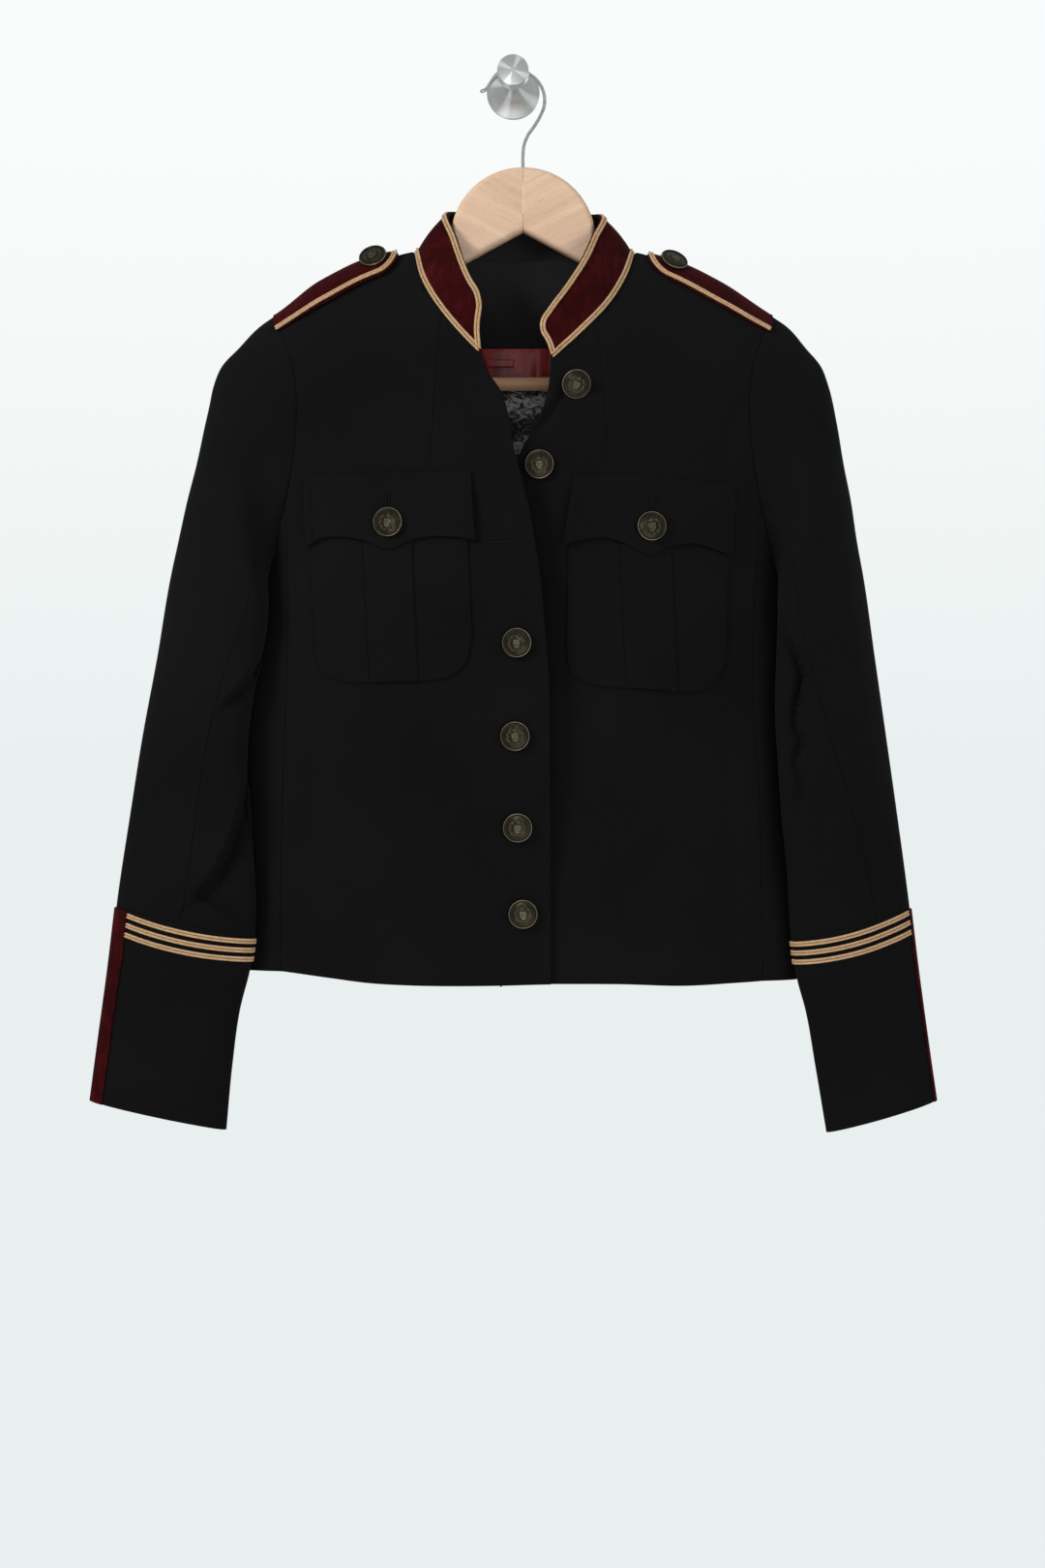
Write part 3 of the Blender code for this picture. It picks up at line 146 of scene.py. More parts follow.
# Epaulettes: straps over the shoulder ridge, from the armhole to a rounded end near the collar.
STRAP_TIP_X, STRAP_END_X = 93.0, 188.0
STRAP_FRONT, STRAP_BACK = 21.0, 19.0
STRAP_ROUND = 15.0
STRAP_OUT = 0.5  # from the shoulder's cloth to the strap's
STRAP_BRAID, BRAID_INSET = 4.4, 0.2

# Pockets and flaps, each seen from the front: (x, z) corners and curves.
FLAP = {
    RIGHT: {"top": [(-160, -305.4), (-37.4, -304.2)],
            "low": [(-157.8, -357.3), (-147, -352), (-134.8, -350.7), (-115, -354), (-97.3, -360.4),
                    (-83, -354.5), (-67, -351.7), (-48, -352.5), (-33.9, -355)]},
    LEFT: {"top": [(36.7, -306), (155, -311)],
           "low": [(29.4, -358), (45, -353.5), (59.6, -352.8), (76, -357.5), (91, -364.7),
                   (105, -358.5), (120, -356), (137, -359), (152, -365)]},
}
POCKET = {
    RIGHT: {"top": [(-156, -345), (-40.3, -345)],
            "low": [(-152, -424), (-150.5, -441), (-143, -452), (-133.6, -455.3), (-90, -456), (-67, -455.6),
                    (-52, -452.5), (-42, -444), (-36.8, -424)],
            "pleat": (-116, -110, -81, -76)},
    LEFT: {"top": [(33, -349), (150.6, -352)],
           "low": [(31.8, -430), (34, -447), (41, -455.5), (52.4, -458.8), (90, -461.5), (122.5, -463.5),
                   (136, -460.5), (144.5, -449), (148, -426)],
           "pleat": (71, 76, 107, 112)},
}
PLEAT_RISE = 0.9
POCKET_CLOTH, FLAP_CLOTH = 1.2, 1.6
FLAP_OUT = 2 * LIE + POCKET_CLOTH + PLEAT_RISE + FLAP_CLOTH

# Buttons.
BUTTON_SCALE, BUTTON_DOME, BUTTON_SINK = 0.955, 3.3, 0.3
BUTTON_OUT = [4.6, 1.2, 1.2, 1.2, 1.2, 1.2]
BUTTON_SPIN = [-24, 9, -5, 4, -8, 12]  # degrees
BUTTON_TURN = {1: (0.28, 0, -0.22)}  # the first hangs turned on its thread
BUTTON_SHIFT = {1: (1.5, -1.8)}
STRAP_BUTTON_ACROSS = -5.0
FRONT_BUTTONS = [(LEFT, 36.5, -237), (LEFT, 12, -299), (RIGHT, -4.2, -429), (RIGHT, -5.5, -496),
                 (RIGHT, -3.8, -562), (RIGHT, 0, -625)]
FLAP_BUTTONS = {RIGHT: (-97.4, -341), LEFT: (92.5, -344)}
STRAP_BUTTON_X = {RIGHT: 110.6, LEFT: 112.0}
STRAP_BUTTON_TILT = {RIGHT: (0, -0.35, -0.1), LEFT: (0.1, -0.2, -0.05)}
BUTTON_ON_FLAP, BUTTON_ON_STRAP = 0.5, 1.2
HOLE_LENGTH, HOLE_BEYOND, HOLE_ABOVE, HOLE_WIDE = 24.0, 7.0, 10, 0.9
SPARE_HOLES = [(-29, -293), (-19.8, -357.5)]  # of the buttons that are left open

# Inside the neck.
FACING_EDGE = [(-133.6, -46), (-199, -56)]
LINING_EDGE = [(-199.6, -122), (-245, -130), (-330, -143), (-640, -146)]
LABEL = (-33.0, 33.0, -228.0, -280.0)
LOOP = (-28.0, -7.0, -208.5, -214.0)

# Hanger, hook and wall peg.
HANGER_Y = -30.0
HANGER_THICK = 12.0
HANGER_ROUND = 4.0
HANGER_CLEAR = 6.5  # from the shoulder line down to the wood
NECK_RADIUS, NECK_CENTRE_Z = 54.5, -120.7
HANGER_FILLET = [(54.6, -119), (57.5, -126.5), (65, -131.8), (74, -134)]
HANGER_END = [(196, -195.5), (207, -208), (215.5, -219), (219.5, -230), (218, -240)]
HANGER_LOW = [(214, -243), (204, -241.5), (196, -233), (186, -220), (165, -204.5), (120, -178), (80, -157),
              (41, -136.8), (0, -114.5)]
BAR_RADIUS, BAR_Z, BAR_HALF, BAR_BEVEL = 5.0, -229.0, 205.5, 0.6
SHARP_WOOD, SHARP_STEEL = math.radians(35), math.radians(28)
BAR_SIDES, WIRE_SIDES, PEG_SIDES = 48, 24, 128
HOOK_TIP, WIRE_RADIUS = 1.9, 1.3
HOOK_CENTRE = (-6.2, -15.1)
HOOK_BEND = 22.6
HOOK_START = [(-32.5, -8.5), (-29.8, -7.8), (-27.4, -6.2)]
HOOK_SHANK = [(8.6, -34.6), (3.8, -41.4), (0.9, -48.5), (0, -57), (0, -66), (0, -77)]
PEG_PROFILE = [(0, 0), (20.3, 0), (20.3, 2.0), (20.1, 2.4), (19.6, 2.6), (16.2, 4.2), (13.0, 6.5), (10.2, 9.1),
               (8.0, 12.0), (6.4, 15.6), (5.3, 20.0), (5.3, 35.5), (5.9, 37.0), (7.0, 38.5), (9.2, 40.9),
               (11.0, 42.5), (11.5, 43.2), (11.7, 44.0), (11.7, 53.2), (11.45, 53.75), (10.9, 54.0), (0.3, 53.9),
               (0, 53.9)]

# How finely the cloth is meshed: cells along each stretch of an edge.
NECK_CELLS, SHOULDER_CELLS, BACK_NECK_CELLS = 38, 36, 40
ARMHOLE_FINE = 8  # cells for each step of the armhole's tables
SIDE_CELLS = 48
SEAM_STEPS = np.linspace(0, 1, 113)
COLUMN_FRONT_SEAM = 7 * ARMHOLE_FINE
COLUMN_INNER = COLUMN_FRONT_SEAM + SIDE_CELLS // 2
COLUMN_BACK_SEAM = COLUMN_FRONT_SEAM + SIDE_CELLS + 3 * ARMHOLE_FINE
COLUMNS = COLUMN_FRONT_SEAM + SIDE_CELLS + 6 * ARMHOLE_FINE
SLEEVE_STEPS = CUFF_START * np.linspace(0, 1, 156)
CUFF_STEPS = np.linspace(CUFF_START, 1, 46)

# The body's sides swell out behind the sleeves' inner edges.
SIDE_SPREAD = [(-676, 5), (-640, 7), (-600, 7.5), (-410, 7.5), (-385, 5), (-362, 0)]

# Relief of the body's cloth.
DART = {RIGHT: [(-304, 67.3), (-240, 63), (-180, 58.5)], LEFT: [(-305, 63), (-240, 58.5), (-180, 54)]}
DART_DEPTH, DART_WIDTH, DART_GATHER, DART_FADE = 0.75, 1.0, 9.0, 14
FRONT_FOLDS = {
    RIGHT: [([(-60, -215), (-30, -255), (-14, -300)], 1.2, 12.0),
            ([(-163, -248), (-150, -275), (-146, -300)], 1.4, 9.0),
            ([(-150, -480), (-158, -570), (-160, -660)], 1.6, 12.0), ([(-60, -600), (-66, -690)], 1.0, 16.0)],
    LEFT: [([(36, -238), (20, -261), (5, -279)], 4.2, 3.6), ([(164, -248), (152, -275), (147, -305)], 1.4, 9.0),
           ([(150, -490), (158, -580), (160, -670)], 1.8, 12.0), ([(80, -590), (88, -690)], 1.2, 18.0)],
}
BACK_FOLDS = [([(-150, -190), (-130, -260), (-128, -330)], 2.2, 14.0),
              ([(150, -190), (130, -260), (128, -330)], 2.2, 14.0),
              ([(-95, -300), (-104, -450), (-112, -690)], 2.6, 20.0),
              ([(95, -300), (102, -450), (108, -690)], 2.6, 20.0),
              ([(-30, -160), (-6, -200), (24, -160)], 1.6, 10.0), ([(4, -420), (0, -560), (-6, -690)], 2.0, 22.0)]

# Creases of the sleeves' fronts: (points, step, rise, reach). The cloth drops by step just beyond the line, on the
# left of its points' direction, and comes back over reach. rise is the soft ridge before it.
SLEEVE_CREASES = {
    RIGHT: [([(-183, -405), (-188, -424), (-194, -440), (-204, -456), (-216, -470)], 11.5, 3.0, 10.0),
            ([(-200, -505), (-203, -530), (-208, -553), (-217, -578), (-229, -600), (-242, -614)], 11.5, 3.2, 12.0),
            ([(-243, -614), (-226, -622), (-206, -632)], 6.5, 2.0, 10.0)],
    LEFT: [([(200, -552), (204, -530), (201, -512), (205, -500), (201, -488), (202, -470), (205, -450), (197, -431),
             (187, -414), (186, -392)], 9.0, 2.6, 9.0)],
}
# Pressed ridges: (points, height, half width).
SLEEVE_RIDGES = {
    RIGHT: [([(-232, -430), (-239, -462), (-244, -500), (-246, -560)], 0.5, 3.0)],
    LEFT: [([(237, -340), (245, -408), (251, -457), (256, -488), (260, -523), (265, -575)], 1.2, 3.2)],
}
SLEEVE_SOFT = {
    RIGHT: [([(-236, -260), (-246, -330), (-256, -400)], 1.6, 12.0),
            ([(-206, -250), (-196, -320), (-200, -390)], 1.8, 10.0),
            ([(-262, -470), (-270, -540), (-280, -600)], 1.2, 12.0)],
    LEFT: [([(206, -250), (200, -320), (206, -380)], 1.8, 10.0), ([(226, -470), (222, -540), (214, -590)], 1.4, 10.0),
           ([(262, -600), (266, -650)], 1.0, 12.0)],
}
LINING_FOLDS = [([(31, -199), (28, -212), (34, -226)], 2.6, 2.6), ([(14, -196), (12, -225), (15, -260)], 3.0, 3.4),
                ([(-30, -199), (-26, -225), (-34, -262)], 1.4, 6.0),
                ([(-8, -214), (10, -219), (30, -215)], 1.0, 4.0), ([(40, -200), (37, -300), (44, -500)], 2.0, 6.0),
                ([(-70, -220), (-66, -400), (-70, -620)], 1.8, 9.0), ([(80, -220), (84, -400), (78, -620)], 1.8, 9.0)]


# --- curves and tables ---------------------------------------------------------------------------


def table(at, pairs):
    """A smooth curve through (position, value) pairs, read at each position of at and held past its ends."""
    pairs = sorted(pairs)
    where = np.array([pair[0] for pair in pairs], float)
    value = np.array([pair[1] for pair in pairs], float)
    slope = np.gradient(value, where)
    at = np.clip(np.asarray(at, float), where[0], where[-1])
    k = np.clip(np.searchsorted(where, at) - 1, 0, len(where) - 2)
    span = where[k + 1] - where[k]
    t = (at - where[k]) / span
    rise = (value[k + 1] - value[k]) * t * t * (3 - 2 * t)
    return value[k] + rise + span * (slope[k] * t * (1 - t) ** 2 - slope[k + 1] * t * t * (1 - t))


def steps_of(points):
    return np.linalg.norm(np.diff(points, axis=0), axis=1)


def run_of(points):
    """The distance along its polyline to each point."""
    return np.concatenate([[0.0], np.cumsum(steps_of(points))])


def lengths(points):
    """How far along its polyline each point is, from 0 to 1."""
    run = run_of(points)
    return run / run[-1]


def read(at, run, points):
    """Points between those at the distances run, at the distances at."""
    return np.stack([np.interp(at, run, axis) for axis in points.T], axis=-1)


def resample(points, fractions):
    """Points at the given fractions of the length of a smooth curve through points."""
    points = np.array(points, float)
    knots = lengths(points)
    fine_at = np.linspace(0, 1, 24 * len(points))
    fine = np.stack([table(fine_at, list(zip(knots, axis))) for axis in points.T], axis=1)
    return read(fractions, lengths(fine), fine)


def smoothstep(value):
    value = np.clip(value, 0, 1)
    return value * value * (3 - 2 * value)


def full_turn(count):
    """Even angles once round a circle."""
    return 2 * np.pi * np.arange(count) / count


def unit(vectors):
    return vectors / np.maximum(np.linalg.norm(vectors, axis=-1, keepdims=True), 1e-9)


def distance_to(x, z, points):
    """Signed distance in the XZ plane from each (x, z) to a smooth line through points, positive on the right of its
    direction, and how far along the line the nearest place is."""
    count = 60
    line = resample(points, np.linspace(0, 1, count))
    across = np.stack([x[..., None] - line[:, 0], z[..., None] - line[:, 1]], axis=-1)
    gaps = np.linalg.norm(across, axis=-1)
    nearest = gaps.argmin(axis=-1)
    near = np.take_along_axis(across, nearest[..., None, None], axis=-2)[..., 0, :]
    heading = np.gradient(line, axis=0)[nearest]
    turn = heading[..., 1] * near[..., 0] - heading[..., 0] * near[..., 1]
    return gaps.min(axis=-1) * np.where(turn < 0, -1, 1), nearest / (count - 1)


def fade_ends(along):
    """1 along the middle of a line and 0 at its ends."""
    return np.sin(np.pi * np.clip(along, 0, 1)) ** 0.7


def troughs(x, z, folds):
    """The depth of soft troughs along lines."""
    depth = 0.0
    for points, deep, reach in folds:
        gap, along = distance_to(x, z, points)
        depth = depth + deep * np.exp(-((gap / reach) ** 2)) * fade_ends(0.08 + 0.84 * along)
    return depth


def soft_waves(x, z):
    """The slight unevenness of pressed cloth that has hung."""
    return (0.42 * np.sin(x / 31 + z / 47 + 1.3) + 0.26 * np.sin(x / 17 - z / 71 + 0.4)
            + 0.22 * np.sin(x / 60 + z / 23 + 2.1) + 0.1 * np.sin(x / 8.5 + z / 15))


# --- body form -----------------------------------------------------------------------------------


def half_width(side, z):
    return table(z, BODY_EDGE[side]) - SIDE_CLEAR + table(z, SIDE_SPREAD)


def drape(drop, run, slope):
    """0 at the ridge and 1 from run below it, as a rounded slope."""
    t = np.clip(drop / run, 0, 1)
    return (1 - (1 - t) ** slope) ** (1 / slope)


def section(x, z, depth, roundness):
    """Distance in front of or behind the side fold at x, on the rounded section at height z."""
    width = np.where(x < 0, half_width(RIGHT, z), half_width(LEFT, z))
    u = np.clip(np.abs(x) / width, 0, 1)
    return table(z, depth) * (1 - u**roundness) ** (1 / roundness)


def shoulder_z(x):
    return table(np.abs(x), SHOULDER_LINE)


FRONT_REACH, BACK_REACH = 172, 170  # the relief of each ends this far from the middle
SIDE_FADE, SHOULDER_FADE = 22, 30


def off_seams(x, z, reach):
    """0 at the shoulder and from reach outwards, and 1 well inside, so that neighbouring pieces meet."""
    return smoothstep((reach - np.abs(x)) / SIDE_FADE) * smoothstep((shoulder_z(x) - z) / SHOULDER_FADE)


def dart_x(side, z):
    return side * table(z, DART[side])


def front_relief(side, x, z):
    """How far the cloth of a front stands out from its plain form."""
    gap = x - dart_x(side, z)
    dart = DART_DEPTH * np.exp(-((gap / DART_WIDTH) ** 2)) - 0.3 * np.exp(-((gap / (6 * DART_WIDTH)) ** 2))
    dart = dart * smoothstep((z - DART[side][0][0]) / 6)
    return (soft_waves(x, z) - troughs(x, z, FRONT_FOLDS[side])) * off_seams(x, z, FRONT_REACH) - dart


def front_y(side, x, z):
    """Y of the outer face of a front at (x, z)."""
    full = FOLD_Y - section(x, z, FRONT_DEPTH, FRONT_ROUND)
    y = RIDGE_Y + (full - RIDGE_Y) * drape(shoulder_z(x) - z, FRONT_RUN, FRONT_SLOPE)
    y = y - front_relief(side, x, z)
    if side == RIGHT:
        return y - table(z, PROUD) * smoothstep((x - PROUD_FROM) / PROUD_SPAN)
    return y + UNDER_SINK * smoothstep((UNDER_SPAN - x) / UNDER_SPAN)


def back_y(x, z):
    full = FOLD_Y + section(x, z, BACK_DEPTH, BACK_ROUND)
    relief = (soft_waves(x + 40, z) - troughs(x, z, BACK_FOLDS)) * off_seams(x, z, BACK_REACH)
    return RIDGE_Y + (full - RIDGE_Y) * drape(shoulder_z(x) - z, BACK_RUN, BACK_SLOPE) + relief


def on_front(side, x, z, out=0.0):
    """Points on a front at (x, z), moved out from it."""
    x, z = np.broadcast_arrays(np.asarray(x, float), np.asarray(z, float))
    y = front_y(side, x, z)
    step = 0.5
    along_x = (front_y(side, x + step, z) - front_y(side, x - step, z)) / (2 * step)
    along_z = (front_y(side, x, z + step) - front_y(side, x, z - step)) / (2 * step)
    normal = unit(np.stack([along_x, -np.ones_like(x), along_z], axis=-1))
    return np.stack([x, y, z], axis=-1) + normal * np.asarray(out)[..., None]


def on_back(x, z):
    x, z = np.broadcast_arrays(np.asarray(x, float), np.asarray(z, float))
    return np.stack([x, back_y(x, z), z], axis=-1)


def round_side(side, z, turn):
    """Points round the side fold at height z: turn is -1 at the front seam, 0 at the fold, 1 at the back seam."""
    z, turn = np.broadcast_arrays(np.asarray(z, float), np.asarray(turn, float))
    width = half_width(side, z)
    front_end = np.arccos((table(z, FRONT_SEAM_X[side]) / width) ** (FRONT_ROUND / 2))
    back_end = np.arccos((BACK_SEAM_X / width) ** (BACK_ROUND / 2))
    front = turn < 0
    angle = np.abs(turn) * np.where(front, front_end, back_end)
    power = np.where(front, FRONT_ROUND, BACK_ROUND)
    depth = np.where(front, -table(z, FRONT_DEPTH), table(z, BACK_DEPTH))
    x = side * width * np.cos(angle) ** (2 / power)
    return np.stack([x, FOLD_Y + depth * np.sin(angle) ** (2 / power), z], axis=-1)


# --- outlines shared by neighbouring pieces --------------------------------------------------------


def neck_front(side):
    return resample(NECK_SEAM[side], np.linspace(0, 1, NECK_CELLS + 1))


def neck_back():
    return resample(BACK_NECK, np.linspace(0, 1, BACK_NECK_CELLS + 1))


def shoulder(side):
    """(x, z) from the neck to the armhole along the ridge."""
    x = np.linspace(NECK_SIDE_X[side], SHOULDER_LINE[-1][0], SHOULDER_CELLS + 1)
    z = shoulder_z(x)
    z[0] = NECK_SEAM[side][-1][1]
    return np.stack([side * x, z], axis=1)


def hem_z(x):
    return table(x, HEM_LINE)


def finer(values, cells):
    """A list's values with each step divided into cells."""
    at = np.linspace(0, len(values) - 1, (len(values) - 1) * cells + 1)
    return np.interp(at, np.arange(len(values)), values)


def armhole_front(side):
    z = finer(ARMHOLE_FRONT_Z, ARMHOLE_FINE)
    return np.stack([side * table(z, ARMHOLE_FRONT_X), z], axis=1)


def armhole_back(side):
    z = finer(ARMHOLE_BACK_Z, ARMHOLE_FINE)
    return np.stack([side * table(z, ARMHOLE_BACK_X), z], axis=1)


def underarm(side):
    """The armhole's lower stretch, round the side panel's top, from the front corner to the back one."""
    turn = np.linspace(-1, 1, SIDE_CELLS + 1)
    z = UNDERARM_Z + (CORNER_Z - UNDERARM_Z) * np.abs(turn) ** 1.7
    return round_side(side, z, turn), z, turn


@functools.lru_cache
def armhole(side):
    """The whole armhole, down the front, under the arm and up the back to where it started."""
    front = armhole_front(side)
    back = armhole_back(side)[::-1]
    front = on_front(side, front[:, 0], front[:, 1])
    back = on_back(back[:, 0], back[:, 1])
    return np.vstack([front, underarm(side)[0][1:-1], back])


def seam_below(corner, hem, x_of):
    z = corner + (hem - corner) * SEAM_STEPS
    return np.stack([x_of(z), z], axis=1)


def front_seam(side):
    return seam_below(CORNER_Z, hem_z(side * HEM_SEAM_X), lambda z: side * table(z, FRONT_SEAM_X[side]))


def back_seam(side):
    return seam_below(CORNER_Z, hem_z(side * BACK_SEAM_X), lambda z: side * BACK_SEAM_X + 0 * z)


def blend_patch(top, low, left, right):
    """A grid of (x, z) inside four edges, rows from top to low. The side edges' curves fade fast across it."""
    u = lengths(top)[None, :, None]
    v = lengths(right)[:, None, None]
    rows = (1 - v) * top[None] + v * low[None]
    left_bow = left[:, None] - ((1 - v) * top[0] + v * low[0])
    right_bow = right[:, None] - ((1 - v) * top[-1] + v * low[-1])
    return rows + (1 - u) ** 2 * left_bow + u**2 * right_bow


# --- meshes ------------------------------------------------------------------------------------------


def grid_normals(grid, wrap=False):
    """Unit normals of a grid whose rows run down and whose columns run to the right, seen from outside."""
    down = np.gradient(grid, axis=0)
    if wrap:
        ring = grid[:, :-1]
        across = np.roll(ring, -1, axis=1) - np.roll(ring, 1, axis=1)
        across = np.concatenate([across, across[:, :1]], axis=1)
    else:
        across = np.gradient(grid, axis=1)
    return unit(np.cross(down, across))


def moved_out(grid, distance, wrap=False):
    return grid + grid_normals(grid, wrap) * distance


def draw_in(grid, amount, wrap=False):
    """The grid with its edges moved in along its own surface, by no more than most of its first cells."""
    def step(edge, inner):
        gap = np.linalg.norm(inner - edge, axis=-1, keepdims=True)
        return edge + unit(inner - edge) * np.minimum(amount, 0.8 * gap)

    grid = grid.copy()
    grid[0], grid[-1] = step(grid[0], grid[1]), step(grid[-1], grid[-2])
    if not wrap:
        grid[:, 0], grid[:, -1] = step(grid[:, 0], grid[:, 1]), step(grid[:, -1], grid[:, -2])
    return grid


def grid_faces(rows, columns, start, flip, wrap):
    row, column = np.meshgrid(np.arange(rows - 1), np.arange(columns if wrap else columns - 1), indexing="ij")
    after = (column + 1) % columns
    quads = np.stack([row * columns + column, (row + 1) * columns + column, (row + 1) * columns + after,
                      row * columns + after], axis=-1).reshape(-1, 4) + start
    return quads[:, ::-1] if flip else quads


def rim_of(rows, columns, wrap):
    """The indices round a grid's edge, or its first and last rows where it closes on itself."""
    index = np.arange(rows * columns).reshape(rows, columns)
    if wrap:
        return [index[0], index[-1][::-1]]
    return [np.concatenate([index[0, :-1], index[:-1, -1], index[-1, :0:-1], index[:0:-1, 0]])]


def shell(grid, thickness, wrap=False, soft=0.45):
    """Points and faces of a closed cloth wall with rounded edges. grid is its outer face, and thickness is a number
    or a grid."""
    normals = grid_normals(grid, wrap)
    thickness = np.broadcast_to(np.asarray(thickness, float), grid.shape[:2])[..., None]
    soft = min(soft, 0.45 * float(thickness.min()))

    def layer(depth, amount):
        made = draw_in(grid - normals * depth, SEAM_INSET + amount, wrap)
        return made[:, :-1] if wrap else made

    face, back = layer(0 * thickness, soft), layer(thickness, soft)
    rows, columns = face.shape[:2]
    count = rows * columns
    rims = rim_of(rows, columns, wrap)
    points = [face.reshape(-1, 3), back.reshape(-1, 3)]
    faces = [grid_faces(rows, columns, 0, False, wrap), grid_faces(rows, columns, count, True, wrap)]
    start = 2 * count
    loops = [rims]
    near = 0.3 * soft
    for depth, amount in ((near, near), (soft, 0), (thickness - soft, 0), (thickness - near, near)):
        flat = layer(depth + 0 * thickness, amount).reshape(-1, 3)
        made = []
        for rim in rims:
            points.append(flat[rim])
            made.append(start + np.arange(len(rim)))
            start += len(rim)
        loops.append(made)
    loops.append([rim + count for rim in rims])
    for loop, after in zip(loops[:-1], loops[1:]):
        for a, b in zip(loop, after):
            faces.append(np.stack([a, np.roll(a, -1), np.roll(b, -1), b], axis=1))
    return np.concatenate(points), np.concatenate(faces)


def mesh_from(name, points, faces, attribute=None):
    """A smooth mesh in metres. faces is an array of quads, or a list of faces of any size."""
    mesh = bpy.data.meshes.new(name)
    mesh.vertices.add(len(points))
    mesh.vertices.foreach_set("co", ((np.asarray(points) + [CENTRE_X, 0, 0]) * MM).astype(np.float32).ravel())
    if isinstance(faces, np.ndarray):
        sizes = np.full(len(faces), faces.shape[1])
        flat = faces.ravel()
    else:
        sizes = np.array([len(face) for face in faces])
        flat = np.concatenate([np.asarray(face) for face in faces])
    mesh.loops.add(len(flat))
    mesh.loops.foreach_set("vertex_index", flat.astype(np.int32))
    mesh.polygons.add(len(sizes))
    mesh.polygons.foreach_set("loop_start", np.concatenate([[0], np.cumsum(sizes)[:-1]]).astype(np.int32))
    if attribute is not None:
        layer = mesh.attributes.new("relief", "FLOAT", "POINT")
        layer.data.foreach_set("value", np.asarray(attribute, np.float32))
    mesh.update(calc_edges=True)
    mesh.validate()
    mesh.shade_smooth()
    return mesh


def piece(name, points, faces, look, *nodes, attribute=None):
    """A finished piece that rides on the body and stands for the CAD nodes named."""
    material, slot = LOOKS[look]
    mesh = mesh_from(name, points, faces, attribute)
    mesh.materials.append(material)
    thing = bpy.data.objects.new(name, mesh)
    bpy.context.scene.collection.objects.link(thing)
    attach(thing, "root")
    if nodes:
        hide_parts(*nodes)
    return thing


def cloth(node, ending, grid, look="twill", thickness=CLOTH, **form):
    """The cloth wall that stands for a CAD node, named after it."""
    return piece(f"{node}_{ending}", *shell(grid, thickness, **form), look, node)


def cords(node, path, normals, width):
    """The gold braid that stands for a CAD node."""
    points, faces, relief = braid(path, normals, width)
    return piece(f"{node}_cords", points, faces, "gold", node, attribute=relief)


def stitching(name, *rows):
    """One piece of stitches along rows of (path, normals)."""
    points, faces, _ = joined([stitches(*row) for row in rows])
    return piece(f"{name}_stitches", points, faces, "stitch")


def joined(parts):
    """Several (points, faces, relief) as one."""
    points, faces, relief, start = [], [], [], 0
    for some, quads, high in parts:
        points.append(some)
        faces.append(quads + start)
        relief.append(high)
        start += len(some)
    return np.concatenate(points), np.concatenate(faces), np.concatenate(relief)


def stations(path, spacing):
    """A path resampled at even spacing along its length, and that length."""
    run = run_of(path)
    at = np.linspace(0, run[-1], max(3, int(round(run[-1] / spacing)) + 1))
    return read(at, run, path), at


def tube(path, radius, normals, sides, relief=None, closed=False):
    """A tube of quads along a path. radius is (stations, sides). Its ends close to a point unless it is a ring."""
    heading = unit(np.gradient(path, axis=0))
    if closed:
        heading = unit(np.roll(path, -1, axis=0) - np.roll(path, 1, axis=0))
    up = unit(normals - heading * (normals * heading).sum(-1, keepdims=True))
    beside = np.cross(heading, up)
    angle = full_turn(sides)
    ring = np.cos(angle)[None, :, None] * beside[:, None] + np.sin(angle)[None, :, None] * up[:, None]
    points = path[:, None] + ring * radius[..., None]
    count = len(path)
    high = np.ones(count * sides) if relief is None else relief.ravel()
    faces = grid_faces(count, sides, 0, False, True)
    points = points.reshape(-1, 3)
    if closed:
        last, first = (count - 1) * sides + np.arange(sides), np.arange(sides)
        join = np.stack([last, first, np.roll(first, -1), np.roll(last, -1)], axis=1)
        return points, np.concatenate([faces, join]), high
    k = np.arange(0, sides, 2)
    tips = np.stack([path[0], path[-1]])
    first, base = count * sides, (count - 1) * sides
    fan = [k, (k + 1) % sides, (k + 2) % sides]
    start = np.stack([0 * k + first, *fan], axis=1)
    end = np.stack([0 * k + first + 1, *(base + corner for corner in fan[::-1])], axis=1)
    return np.concatenate([points, tips]), np.concatenate([faces, start, end]), np.concatenate([high, [1, 1]])


CORD_SIDES, CORD_SPACING, CORD_PITCH, CORD_LOBES = 9, 0.66, 4.6, 3


def cord(path, normals, radius, turn):
    """One twisted cord of a braid: its strands show as lobes that wind along it."""
    even, run = stations(path, CORD_SPACING)
    order = np.arange(len(path))
    where = np.linspace(0, len(path) - 1, 400)
    up = unit(read(run, np.interp(where, order, run_of(path)), read(where, order, normals)))
    angle = full_turn(CORD_SIDES)
    wind = angle[None, :] - turn * 2 * np.pi * run[:, None] / CORD_PITCH
    lobe_and_painted_shade = np.abs(np.cos(CORD_LOBES * wind / 2))
    ends = np.sqrt(np.clip(np.minimum(run, run[-1] - run) / radius, 0.15, 1))[:, None]
    # The lobes also go out as relief, which the gold material turns into painted shade in the grooves and painted
    # light on the crests.
    return tube(even, radius * (0.6 + 0.4 * lobe_and_painted_shade) * ends, up, CORD_SIDES, lobe_and_painted_shade)


def braid(path, normals, width):
    """A flat gold braid along a path on a surface: two twisted cords side by side."""
    heading = unit(np.gradient(path, axis=0))
    beside = unit(np.cross(heading, normals))
    radius = width / 4
    parts = []
    for hand in (-1, 1):
        middle = path + beside * (hand * radius * 0.98) + normals * (radius * 0.62)
        parts.append(cord(middle, normals, radius, hand))
    return joined(parts)


STITCH_SIDES = 6


